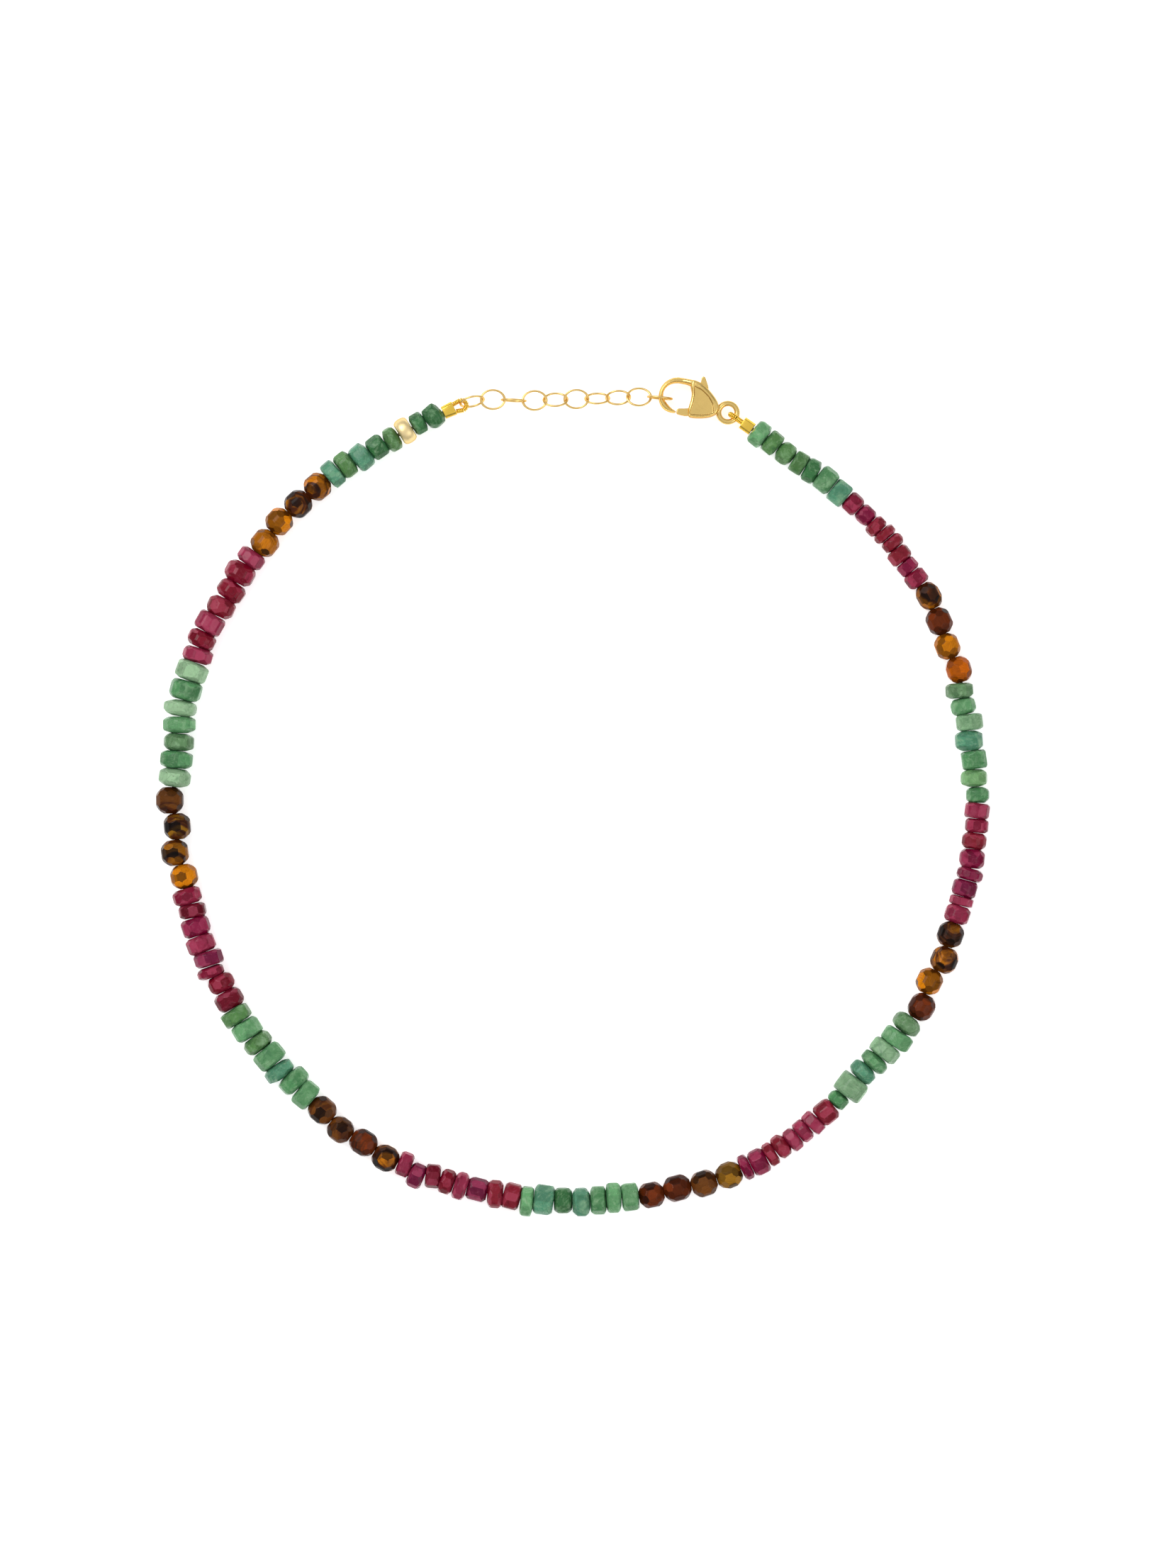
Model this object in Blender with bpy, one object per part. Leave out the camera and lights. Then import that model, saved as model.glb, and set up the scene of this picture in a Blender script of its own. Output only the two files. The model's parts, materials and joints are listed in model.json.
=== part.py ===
"""A short gemstone necklace that lies flat, closed by its clasp.

Emerald, ruby and tiger's eye beads, a gold chain and a gold trigger clasp. Metres, +Z up, X to the right and
Y away from a viewer who stands before it. Every piece is placed by its length along one closed route, which
is scaled so that it is exactly as long as what is strung on it.
"""

import math

import bmesh
import bpy
from mathutils import Matrix, Vector

MM = 0.001

# Stones
EMERALD_WIDTH = 4.0 * MM
EMERALD_LENGTH = 2.5 * MM
RUBY_WIDTH = 3.8 * MM
RUBY_LENGTH = 2.3 * MM
TIGER_WIDTH = 3.8 * MM
TIGER_LENGTH = 3.8 * MM
ROUNDEL_WIDTH = 3.8 * MM
ROUNDEL_LENGTH = 2.3 * MM
STONE_SIDES = 10
ROUNDEL_SIDES = 12

# Thread and the gaps along it
THREAD_WIDTH = 0.5 * MM
HOLE_CLEARANCE = 0.15 * MM
BEAD_GAP = 0.3 * MM
PIECE_GAP = 0.12 * MM

# Crimps, and the guards, which are loops of coiled wire that leave the crimps' faces
CRIMP_LENGTH = 1.7 * MM
CRIMP_WIDTH = 1.75 * MM
CRIMP_THICKNESS = 1.4 * MM
CRIMP_EDGE = 0.35 * MM
CRIMP_FLARE = 1.12
GUARD_WIRE = 0.7 * MM
GUARD_SIDES = 8
GUARD_STEPS = 12
GUARD_CLEARANCE = 0.13 * MM
LEFT_GUARD_WIDTH = 1.44 * MM
LEFT_GUARD_REACH = 1.8 * MM
LEFT_GUARD_ROOT = 1.1 * MM
RIGHT_GUARD_STRAIGHT = 1.18 * MM
RIGHT_GUARD_ROOT = 0.84 * MM

# Chain. A link's roll turns it about the chain's line, from 0 with its hole facing up to 90 on its edge.
LINK_LENGTH = 3.62 * MM
LINK_WIDTH = 2.95 * MM
LINK_WIRE = 0.29 * MM
LINK_GAP = 0.09 * MM
LINK_STEPS = 14
LINK_SIDES = 6
LINK_ROLLS = (65, 4, 90, -2, -43, 20, -53, 50, -20, 90)
FIRST_LINK_SLACK = 0.3 * MM
LAST_LINK_SLACK = 1.0 * MM

# Clasp. CLASP_LENGTH runs from the ring's middle to the middle of the hook's wire at its far end.
CLASP_LENGTH = 9.8 * MM
CLASP_THICKNESS = 3.0 * MM
PLATE_EDGE = 0.2 * MM
PANEL_DEPTH = 0.25 * MM
HOOK_LENGTH = 4.9 * MM
HOOK_HEIGHT = 4.5 * MM
HOOK_RISE = 0.75 * MM
HOOK_WIRE = 0.85 * MM
HOOK_THICKNESS = 1.5 * MM
HOOK_SIDES = 8
RING_WIDTH = 3.36 * MM
RING_WIRE = 0.76 * MM
RING_STEPS = 16
RING_SIDES = 8
LEVER_THICKNESS = 1.2 * MM
LEVER_CLEARANCE = 0.1 * MM
LEVER_SWING = 28
GATE_GAP = 0.15 * MM
HUB_WIDTH = 1.7 * MM
PIVOT_WIDTH = 0.7 * MM
PIVOT_CLEARANCE = 0.1 * MM
PIVOT_SIDES = 12

# Worked out from the sizes above. The thread runs at the height of an average stone's middle.
THREAD_HEIGHT = (EMERALD_WIDTH + RUBY_WIDTH) / 4 * math.cos(math.pi / STONE_SIDES)
HOLE_WIDTH = THREAD_WIDTH + 2 * HOLE_CLEARANCE
CHAIN_HEIGHT = max(CLASP_THICKNESS, LINK_WIDTH) / 2
RING_REACH = (RING_WIDTH - RING_WIRE) / 2
RIGHT_GUARD_WIDTH = RING_WIRE + GUARD_WIRE + 2 * GUARD_CLEARANCE
LINK_PITCH = LINK_LENGTH - 2 * LINK_WIRE - LINK_GAP
FIRST_LINK = LEFT_GUARD_REACH - GUARD_WIRE / 2 - FIRST_LINK_SLACK - LINK_WIRE + LINK_LENGTH / 2
LAST_LINK = CLASP_LENGTH - HOOK_WIRE / 2 - LAST_LINK_SLACK + LINK_LENGTH / 2 - LINK_WIRE

# The loop's chosen points, clockwise from the clasp's ring, as shares of the radius that its length gives it
ROUTE = (
    (0.385, 0.953), (0.433, 0.920), (0.503, 0.870), (0.774, 0.649), (0.944, 0.345), (0.999, 0.000),
    (0.939, -0.341), (0.770, -0.645), (0.503, -0.872), (0.174, -0.992), (-0.174, -0.992), (-0.501, -0.867),
    (-0.761, -0.638), (-0.930, -0.338), (-0.990, 0.000), (-0.932, 0.339), (-0.763, 0.640), (-0.499, 0.863),
    (-0.390, 0.918), (-0.320, 0.953), (-0.260, 0.978), (-0.105, 0.983), (0.056, 0.988), (0.215, 0.990),
)
ROUTE_SAMPLES = 24

EMERALDS, RUBIES, TIGERS, ROUNDEL = "emerald_run", "ruby_run", "tiger_eye", "gold_roundel"
NOMINAL = {
    EMERALDS: (EMERALD_LENGTH, EMERALD_WIDTH),
    RUBIES: (RUBY_LENGTH, RUBY_WIDTH),
    TIGERS: (TIGER_LENGTH, TIGER_WIDTH),
    ROUNDEL: (ROUNDEL_LENGTH, ROUNDEL_WIDTH),
}

# Each stone in order, clockwise from the clasp: its length along the thread and its width as shares of its
# kind's, how far it sits outwards as a share of that width, and its lean in degrees.
STRAND = (
    (EMERALDS, (
        (0.90, 0.95, 0.00, 3), (0.86, 0.87, 0.02, 5), (1.04, 0.82, 0.00, 2), (0.82, 0.82, 0.00, -3),
        (0.83, 0.89, 0.02, -7), (1.09, 0.92, 0.06, 2), (1.01, 0.90, -0.01, 0),
    )),
    (RUBIES, (
        (1.02, 0.80, 0.00, 3), (1.08, 0.72, 0.00, 0), (0.79, 0.83, -0.02, 0), (0.65, 0.88, 0.02, 0),
        (0.79, 0.86, 0.05, -2), (0.91, 0.88, -0.03, -2), (0.83, 0.78, -0.01, -8), (0.96, 0.86, 0.02, -6),
    )),
    (TIGERS, ((1.01, 0.90, 0.10, 0), (1.00, 0.94, 0.02, 0), (0.95, 0.92, -0.06, 0), (0.96, 0.94, 0.06, 0))),
    (EMERALDS, (
        (0.86, 0.99, -0.13, 10), (0.96, 0.90, -0.12, -2), (0.94, 0.96, 0.00, 3), (1.14, 1.01, -0.11, 3),
        (1.06, 0.91, 0.00, -3), (1.00, 0.96, -0.04, 2), (0.91, 0.84, 0.08, 0),
    )),
    (RUBIES, (
        (0.95, 0.93, 0.08, 5), (0.87, 0.88, 0.11, 0), (1.01, 0.92, 0.06, 0), (1.18, 0.95, 0.07, -4),
        (0.76, 0.99, 0.09, 5), (1.04, 0.93, 0.01, 3), (0.57, 0.91, 0.01, 0), (1.11, 0.96, -0.01, 2),
    )),
    (TIGERS, ((0.93, 0.97, -0.02, 0), (0.97, 1.00, 0.11, 0), (0.95, 0.96, -0.06, 0), (0.99, 0.97, 0.14, 0))),
    (EMERALDS, (
        (1.03, 1.05, -0.01, 3), (0.95, 1.11, 0.00, -3), (0.93, 1.11, -0.10, 0), (0.83, 1.03, -0.11, 0),
        (0.91, 0.99, -0.18, 0), (1.23, 1.11, -0.11, -9), (0.84, 0.76, -0.07, -6),
    )),
    (RUBIES, (
        (1.23, 0.90, -0.02, 0), (0.78, 0.95, 0.00, -10), (0.83, 0.88, 0.02, -5), (0.79, 0.90, 0.08, -6),
        (0.90, 0.92, 0.05, -8), (0.66, 0.92, 0.12, -3), (1.06, 1.00, 0.16, 0), (0.64, 1.00, 0.12, -2),
    )),
    (TIGERS, ((0.97, 0.98, 0.14, 0), (0.97, 0.97, 0.11, 0), (1.03, 0.97, -0.02, 0), (0.95, 0.95, 0.01, 0))),
    (EMERALDS, (
        (0.98, 0.99, -0.05, 2), (0.87, 1.10, -0.11, 4), (0.90, 1.01, -0.05, 2), (1.02, 1.04, -0.01, 0),
        (1.06, 0.94, -0.07, -2), (1.15, 1.06, -0.07, 4), (0.73, 1.07, 0.04, 0),
    )),
    (RUBIES, (
        (1.10, 1.01, -0.06, 6), (0.97, 1.07, -0.04, -8), (1.29, 0.88, -0.04, 0), (0.82, 1.07, 0.00, 0),
        (0.92, 0.95, 0.01, 0), (0.93, 0.91, -0.01, -16), (0.97, 0.96, 0.21, 0), (0.86, 0.95, 0.01, -4),
    )),
    (TIGERS, ((0.97, 0.97, 0.12, 0), (1.01, 0.95, 0.04, 0), (0.94, 0.95, 0.13, 0), (1.00, 0.99, -0.02, 0))),
    (EMERALDS, (
        (1.05, 1.01, -0.04, -4), (1.01, 1.11, -0.11, 3), (0.89, 1.09, 0.04, 7), (1.10, 1.10, -0.04, 0),
        (0.91, 1.06, -0.01, 0), (1.06, 1.05, 0.03, 4), (0.89, 1.09, 0.08, 0),
    )),
    (RUBIES, (
        (1.15, 1.09, -0.01, 0), (1.09, 1.00, -0.04, 2), (0.71, 1.03, 0.13, 6), (0.91, 1.11, -0.02, 6),
        (1.07, 1.09, 0.04, 0), (1.14, 1.08, 0.00, 0), (0.87, 1.03, -0.06, 5), (1.00, 1.09, -0.02, -2),
    )),
    (TIGERS, ((0.90, 1.02, -0.07, 0), (0.95, 1.02, 0.12, 0), (0.97, 1.00, -0.08, 0), (0.99, 1.03, 0.15, 0))),
    (EMERALDS, (
        (1.05, 1.16, -0.03, 5), (0.99, 1.18, -0.04, 0), (1.00, 1.09, -0.05, -5), (0.95, 1.16, 0.02, -10),
        (0.93, 1.19, 0.10, -5), (1.13, 1.16, 0.06, 0), (1.10, 1.16, 0.04, 3),
    )),
    (RUBIES, (
        (0.92, 1.14, 0.03, -4), (1.04, 1.09, 0.11, 4), (1.18, 1.07, 0.08, 5), (1.20, 1.06, -0.03, -4),
        (1.16, 1.07, -0.07, 5), (1.29, 1.14, 0.00, -5), (0.96, 1.05, -0.03, 0),
    )),
    (TIGERS, ((0.95, 1.02, -0.09, 0), (0.95, 0.99, 0.03, 0), (0.97, 1.00, -0.01, 0), (0.95, 1.00, 0.00, 0))),
    (EMERALDS, (
        (0.83, 1.00, 0.01, -4), (0.94, 0.96, 0.02, -4), (1.04, 0.96, -0.07, -8), (1.04, 0.85, -0.05, -8),
        (0.86, 0.91, -0.05, -5),
    )),
    (ROUNDEL, ((0.98, 1.00, 0.03, -7),)),
    (EMERALDS, ((0.80, 0.79, 0.06, -3), (1.08, 0.86, 0.04, -15))),
)

# A stone's rings: place as a share of its length, and share of its radius. Fused stones meet at valleys.
RONDELLE = ((-0.34, 0.80), (0.0, 1.0), (0.34, 0.80))
VALLEY = 0.42
DIAMOND_CUT = ((-0.36, 0.72), (0.0, 1.0), (0.36, 0.72))
DIAMOND_CUT_END = 0.52
BARREL = ((-0.5, 0.82), (-0.3, 0.98), (0.0, 1.0), (0.3, 0.98), (0.5, 0.82))

# The clasp's outlines, as shares of CLASP_LENGTH from the ring's middle, towards the hook and the thumb tab
PIVOT = (0.429, 0.010)
PLATE_OUTLINE = (
    (0.607, 0.349), (0.501, 0.338), (0.408, 0.298), (0.331, 0.249), (0.245, 0.179), (0.184, 0.117),
    (0.138, 0.041), (0.148, -0.051), (0.235, -0.117), (0.343, -0.154), (0.449, -0.176), (0.546, -0.182),
    (0.573, -0.064), (0.558, 0.051), (0.564, 0.163), (0.607, 0.255),
)
PANEL_OUTLINE = (
    (0.546, 0.219), (0.524, 0.118), (0.520, 0.031), (0.531, -0.061), (0.531, -0.143), (0.367, -0.115),
    (0.209, -0.061), (0.245, 0.051), (0.327, 0.148), (0.429, 0.209),
)
TAB_OUTLINE = (
    (0.482, 0.327), (0.480, 0.403), (0.461, 0.431), (0.431, 0.429), (0.407, 0.393), (0.333, 0.260),
)
# The gate's outline, as shares of its length from the pivot, towards the hook's tip and to the left of that
GATE_OUTLINE = (
    (0.555, -0.329), (0.992, -0.108), (1.0, -0.026), (0.955, 0.073), (0.892, 0.114), (0.484, -0.003),
)
# Angles at the pivot in degrees: where the hub's wall shows, and where gate and tab leave it at rest
HUB_BACK = (111, 300)
HUB_FRONT = (-20, 80)
HUB_STEP = 30
GATE_SECTOR = (-62, -20)
TAB_SECTOR = (80, 111)
SECTOR_MARGIN = 3

# The hook's root between the plates: place as shares of CLASP_LENGTH, and heading in degrees. Then its
# ellipse: angle in degrees, and the wire's width and thickness as shares of HOOK_WIRE and HOOK_THICKNESS.
HOOK_ROOT = ((0.510, 0.291, 6), (0.633, 0.306, 0))
HOOK_ARC = (
    (95, 1.00, 1.00), (75, 1.00, 1.00), (55, 0.92, 1.00), (35, 0.80, 1.00), (15, 0.74, 1.00),
    (0, 0.73, 1.00), (-15, 0.80, 1.00), (-30, 0.98, 1.00), (-45, 1.10, 1.00), (-60, 1.05, 1.00),
    (-75, 0.75, 1.00), (-88, 0.45, 0.85), (-93, 0.28, 0.68),
)

# Finishes: colour, roughness and metallic value
FINISHES = {
    "emerald": ((0.16, 0.42, 0.24), 0.25, 0.0),
    "ruby": ((0.33, 0.03, 0.08), 0.25, 0.0),
    "tiger_eye": ((0.22, 0.09, 0.02), 0.2, 0.0),
    "gold": ((0.72, 0.48, 0.14), 0.2, 1.0),
    "bright_gold": ((0.85, 0.60, 0.12), 0.2, 1.0),
    "satin_gold": ((0.75, 0.52, 0.2), 0.4, 1.0),
}
RUN_FINISH = {EMERALDS: "emerald", RUBIES: "ruby"}
# The sharpest edge, in degrees, that still shades as round on a cut stone, a turned piece and a wire
CUT, TURNED, WIRE = 10, 35, 80


def material(finish):
    made = bpy.data.materials.get(finish)
    if made is None:
        colour, roughness, metallic = FINISHES[finish]
        made = bpy.data.materials.new(finish)
        made.use_nodes = True
        shader = made.node_tree.nodes["Principled BSDF"]
        shader.inputs["Base Color"].default_value = (*colour, 1.0)
        shader.inputs["Roughness"].default_value = roughness
        shader.inputs["Metallic"].default_value = metallic
    return made


def placed(name, bm, parent):
    """A bmesh as a named object under its parent empty, with its faces outwards."""
    bmesh.ops.recalc_face_normals(bm, faces=bm.faces)
    mesh = bpy.data.meshes.new(name)
    bm.to_mesh(mesh)
    bm.free()
    made = bpy.data.objects.new(name, mesh)
    bpy.context.scene.collection.objects.link(made)
    made.parent = parent
    return made


def finished(name, bm, finish, parent, smooth_under=TURNED):
    made = placed(name, bm, parent)
    made.data.materials.append(material(finish))
    made.data.shade_smooth()
    made.data.set_sharp_from_angle(angle=math.radians(smooth_under))
    return made


# The route


def spline_points(points, samples):
    """Points of the smooth closed curve through the chosen points, which may be unevenly spaced."""
    count = len(points)
    points = [Vector(p) for p in points]
    spans = [(points[(i + 1) % count] - points[i]).length for i in range(count)]
    slopes = []
    for i in range(count):
        before, after = spans[i - 1], spans[i]
        into = (points[i] - points[i - 1]) / before
        out = (points[(i + 1) % count] - points[i]) / after
        slopes.append((into * after + out * before) / (before + after))
    made = []
    for i in range(count):
        start, end, span = points[i], points[(i + 1) % count], spans[i]
        for k in range(samples):
            t = k / samples
            made.append(
                start * (1 + 2 * t) * (1 - t) ** 2
                + slopes[i] * span * t * (1 - t) ** 2
                + end * t * t * (3 - 2 * t)
                + slopes[(i + 1) % count] * span * t * t * (t - 1)
            )
    return made


class Route:
    """The closed line that everything is strung on, scaled to the length that it is given."""

    def __init__(self, length):
        points = spline_points(ROUTE, ROUTE_SAMPLES)
        points.append(points[0].copy())
        marks = [0.0]
        for a, b in zip(points, points[1:]):
            marks.append(marks[-1] + (b - a).length)
        radius = length / marks[-1]
        self.length = length
        self.points = [p * radius for p in points]
        self.marks = [m * radius for m in marks]

    def point(self, at):
        at %= self.length
        low, high = 0, len(self.marks) - 1
        while high - low > 1:
            middle = (low + high) // 2
            if self.marks[middle] <= at:
                low = middle
            else:
                high = middle
        share = (at - self.marks[low]) / (self.marks[high] - self.marks[low])
        return self.points[low].lerp(self.points[high], share)

    def frame(self, at, height, outward=0.0, lean=0.0):
        """A frame on the route: X along it, Y outwards, to its left, and Z up. lean turns it about Z."""
        step = self.point(at + PIECE_GAP) - self.point(at - PIECE_GAP)
        heading = math.atan2(step.y, step.x)
        here = self.point(at)
        x = here.x - math.sin(heading) * outward
        y = here.y + math.cos(heading) * outward
        return Matrix.Translation((x, y, height)) @ Matrix.Rotation(heading - math.radians(lean), 4, "Z")


# Turned and swept skins


def ring(bm, frame, radius, sides, turn=0.0, flatten=1.0):
    """A ring of vertices round the frame's X axis, starting on its +Y side."""
    made = []
    for k in range(sides):
        angle = 2 * math.pi * (k + turn) / sides
        across = radius * math.cos(angle)
        up = flatten * radius * math.sin(angle)
        made.append(bm.verts.new(frame @ Vector((0, across, up))))
    return made


def skin(bm, rings, closed=False):
    """Faces between each ring and the next, which may have half or twice as many vertices."""
    for a, b in zip(rings, rings[1:] + rings[:1] if closed else rings[1:]):
        if len(a) == len(b):
            for k in range(len(a)):
                n = (k + 1) % len(a)
                bm.faces.new((a[k], a[n], b[n], b[k]))
        elif len(a) > len(b):
            half_step(bm, a, b)
        else:
            half_step(bm, b, a)


def half_step(bm, wide, slim):
    for k in range(len(slim)):
        n = (k + 1) % len(slim)
        first, middle, last = wide[2 * k], wide[2 * k + 1], wide[(2 * k + 2) % len(wide)]
        bm.faces.new((first, middle, slim[k]))
        bm.faces.new((middle, slim[n], slim[k]))
        bm.faces.new((middle, last, slim[n]))


def capped(bm, rings):
    """An open skin with both its ends closed."""
    skin(bm, rings)
    bm.faces.new(rings[0])
    bm.faces.new(rings[-1])


def lowest(sides):
    """How far a ring's lowest vertex is from its middle, as a share of its radius."""
    return max(math.sin(2 * math.pi * k / sides) for k in range(sides))


# Stones


class Stone:
    """One stone of the strand, which lies on the floor at its place along the route."""

    def __init__(self, kind, start, row):
        length, width = NOMINAL[kind]
        length_share, width_share, outward, self.lean = row
        self.kind = kind
        self.start = start
        self.length = length_share * length
        self.width = width_share * width
        self.outward = outward * width
        self.height = self.width / 2 * lowest(ROUNDEL_SIDES if kind == ROUNDEL else STONE_SIDES)
        self.end = start + self.length

    def frame(self, route, place):
        """The frame of the stone's ring at a place along its own axis, from its middle."""
        middle = route.frame((self.start + self.end) / 2, self.height, self.outward, self.lean)
        return middle @ Matrix.Translation((place, 0, 0))


def turned_rings(bm, route, stone, profile, length, sides):
    radius = stone.width / 2
    return [ring(bm, stone.frame(route, place * length), share * radius, sides) for place, share in profile]


def valley_ring(bm, route, stone, after):
    frame = route.frame(
        stone.end,
        (stone.height + after.height) / 2,
        (stone.outward + after.outward) / 2,
        (stone.lean + after.lean) / 2,
    )
    return ring(bm, frame, VALLEY * (stone.width + after.width) / 4, STONE_SIDES)


def end_ring(bm, route, stone, place):
    return ring(bm, stone.frame(route, place), VALLEY * stone.width / 2, STONE_SIDES)


def thread_rings(bm, route, far, stone, near):
    """The thread's rings from its free end, at far, to the stone's face that it comes out of, at near."""
    side = math.copysign(1, far - near)
    outside = near + side * BEAD_GAP
    steps = max(1, round(abs(far - near) / TIGER_LENGTH))
    frames = [route.frame(far + (outside - far) * k / steps, THREAD_HEIGHT) for k in range(steps + 1)]
    inside = near - side * PIECE_GAP
    frames.append(route.frame(inside, (THREAD_HEIGHT + stone.height) / 2, stone.outward / 2))
    return [ring(bm, frame, THREAD_WIDTH / 2, STONE_SIDES // 2) for frame in frames]


def make_run(name, stones, route, threads, parent):
    """One run of rondelles fused at their valleys, with its thread as far as threads says on each side."""
    bm = bmesh.new()
    first, last = stones[0], stones[-1]
    face = PIECE_GAP / 2
    rings = []
    if threads[0] is not None:
        rings += thread_rings(bm, route, threads[0], first, first.start)
    rings.append(end_ring(bm, route, first, face - first.length / 2))
    for stone, after in zip(stones, stones[1:]):
        rings += turned_rings(bm, route, stone, RONDELLE, stone.length, STONE_SIDES)
        rings.append(valley_ring(bm, route, stone, after))
    rings += turned_rings(bm, route, last, RONDELLE, last.length, STONE_SIDES)
    rings.append(end_ring(bm, route, last, last.length / 2 - face))
    if threads[1] is not None:
        rings += thread_rings(bm, route, threads[1], last, last.end)[::-1]
    capped(bm, rings)
    return finished(name, bm, RUN_FINISH[first.kind], parent)


def drill(bm, outer, route, stone, half_length):
    """Closes a bead's outer rings with the wall of its hole, which runs along the thread."""
    middle = (stone.start + stone.end) / 2
    hole = [
        ring(bm, route.frame(middle + at, THREAD_HEIGHT), HOLE_WIDTH / 2, len(outer[0]))
        for at in (half_length, -half_length)
    ]
    skin(bm, outer + hole, closed=True)


def make_tiger(name, stone, route, parent):
    """A round bead cut in diamond facets: its two outer rings are turned by half a side."""
    bm = bmesh.new()
    length = stone.length - BEAD_GAP
    radius = stone.width / 2
    outer = [ring(bm, stone.frame(route, -length / 2), DIAMOND_CUT_END * radius, STONE_SIDES)]
    for place, share in DIAMOND_CUT:
        turn = 0.5 if place else 0.0
        outer.append(ring(bm, stone.frame(route, length * place), share * radius, STONE_SIDES, turn))
    outer.append(ring(bm, stone.frame(route, length / 2), DIAMOND_CUT_END * radius, STONE_SIDES))
    drill(bm, outer, route, stone, length / 2)
    return finished(name, bm, "tiger_eye", parent, CUT)


def make_roundel(name, stone, route, parent):
    """A gold barrel bead with a rounded wall."""
    bm = bmesh.new()
    length = stone.length - 2 * PIECE_GAP
    outer = turned_rings(bm, route, stone, BARREL, length, ROUNDEL_SIDES)
    drill(bm, outer, route, stone, length / 2)
    return finished(name, bm, "satin_gold", parent)


# Chain, crimps and guards


def along(points, tangents, base):
    """Frames whose X follows each tangent in the base's XY plane."""
    frames = []
    for (x, y), (tx, ty) in zip(points, tangents):
        frames.append(base @ Matrix.Translation((x, y, 0)) @ Matrix.Rotation(math.atan2(ty, tx), 4, "Z"))
    return frames


def oval_frames(half_length, half_width, steps, base):
    angles = [2 * math.pi * k / steps for k in range(steps)]
    points = [(half_length * math.cos(a), half_width * math.sin(a)) for a in angles]
    tangents = [(-half_length * math.sin(a), half_width * math.cos(a)) for a in angles]
    return along(points, tangents, base)


def make_link(name, place, route, roll, parent):
    bm = bmesh.new()
    base = route.frame(place, CHAIN_HEIGHT) @ Matrix.Rotation(math.radians(roll), 4, "X")
    frames = oval_frames((LINK_LENGTH - LINK_WIRE) / 2, (LINK_WIDTH - LINK_WIRE) / 2, LINK_STEPS, base)
    skin(bm, [ring(bm, frame, LINK_WIRE / 2, LINK_SIDES) for frame in frames], closed=True)
    return finished(name, bm, "gold", parent, WIRE)


def make_guard(name, base, half_width, root, straight, bend, parent):
    """A U of coiled wire, as its outer form, in the base's XY plane. Both legs leave the crimp's face."""
    angles = [math.pi * (k / GUARD_STEPS - 0.5) for k in range(GUARD_STEPS + 1)]
    points = [(straight + bend * math.cos(a), half_width * math.sin(a)) for a in angles]
    tangents = [(-bend * math.sin(a), half_width * math.cos(a)) for a in angles]
    points = [(PIECE_GAP, -root / 2), *points, (PIECE_GAP, root / 2)]
    tangents = [(1, 0), *tangents, (-1, 0)]
    bm = bmesh.new()
    capped(bm, [ring(bm, frame, GUARD_WIRE / 2, GUARD_SIDES) for frame in along(points, tangents, base)])
    return finished(name, bm, "bright_gold", parent, WIRE)


def make_crimp(name, base, flare, parent):
    """A crushed tube: a block with its long edges taken off, and its far end wider by flare."""
    bm = bmesh.new()
    size = Matrix.Diagonal((CRIMP_LENGTH, CRIMP_WIDTH, CRIMP_THICKNESS, 1))
    bmesh.ops.create_cube(bm, size=1.0, matrix=size)
    for vertex in bm.verts:
        if vertex.co.x > 0:
            vertex.co.y *= flare
    lengthwise = [e for e in bm.edges if abs(e.verts[0].co.x - e.verts[1].co.x) > CRIMP_LENGTH / 2]
    bmesh.ops.bevel(bm, geom=lengthwise, offset=CRIMP_EDGE, segments=2, profile=0.5, affect="EDGES")
    bm.transform(base)
    return finished(name, bm, "bright_gold", parent)


# The clasp. In its own frame the ring's middle is the origin, the hook is along +X, the thumb tab is towards
# +Y and the face that shows is towards -Z.


def in_clasp(outline):
    return [Vector((x * CLASP_LENGTH, y * CLASP_LENGTH, 0)) for x, y in outline]


def at_pivot(angle, radius):
    turn = math.radians(angle)
    return in_clasp([PIVOT])[0] + Vector((radius * math.cos(turn), radius * math.sin(turn), 0))


def hub_points(span, radius):
    first, last = span
    steps = max(1, round((last - first) / HUB_STEP))
    return [at_pivot(first + (last - first) * k / steps, radius) for k in range(steps + 1)]


def on_hook(angle):
    """The place of the hook's middle line at an angle of its ellipse, and its heading there."""
    turn = math.radians(angle)
    place = Vector((
        CLASP_LENGTH + HOOK_LENGTH / 2 * (math.cos(turn) - 1),
        HOOK_RISE + HOOK_HEIGHT / 2 * math.sin(turn),
        0,
    ))
    return place, math.atan2(-HOOK_HEIGHT * math.cos(turn), HOOK_LENGTH * math.sin(turn))


def gate_points():
    """The gate's outline, which ends one gap short of the hook's tip."""
    pivot = at_pivot(0, 0)
    tip = on_hook(HOOK_ARC[-1][0])[0] - pivot
    ahead = tip.normalized()
    left = Vector((-ahead.y, ahead.x, 0))
    length = tip.length - GATE_GAP
    return [pivot + ahead * x * length + left * y * length for x, y in GATE_OUTLINE]


def prism(outline, low, high, edge=0.0):
    """An outline extruded between two heights, with its top and bottom edges taken off."""
    bm = bmesh.new()
    face = bm.faces.new([bm.verts.new((p.x, p.y, low)) for p in outline])
    moved = bmesh.ops.extrude_face_region(bm, geom=[face])["geom"]
    top = [v for v in moved if isinstance(v, bmesh.types.BMVert)]
    bmesh.ops.translate(bm, vec=(0, 0, high - low), verts=top)
    bmesh.ops.recalc_face_normals(bm, faces=bm.faces)
    if edge > 0:
        rims = [e for e in bm.edges if abs(e.verts[0].co.z - e.verts[1].co.z) < edge / 2]
        bmesh.ops.bevel(bm, geom=rims, offset=edge, segments=1, affect="EDGES")
    return bm


def helper(name, bm, parent):
    """A mesh that only a Boolean reads."""
    made = placed(name, bm, parent)
    made.hide_render = True
    made.display_type = "WIRE"
    return made


def combine(target, other, operation):
    step = target.modifiers.new(other.name, "BOOLEAN")
    step.operation = operation
    step.object = other


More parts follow.
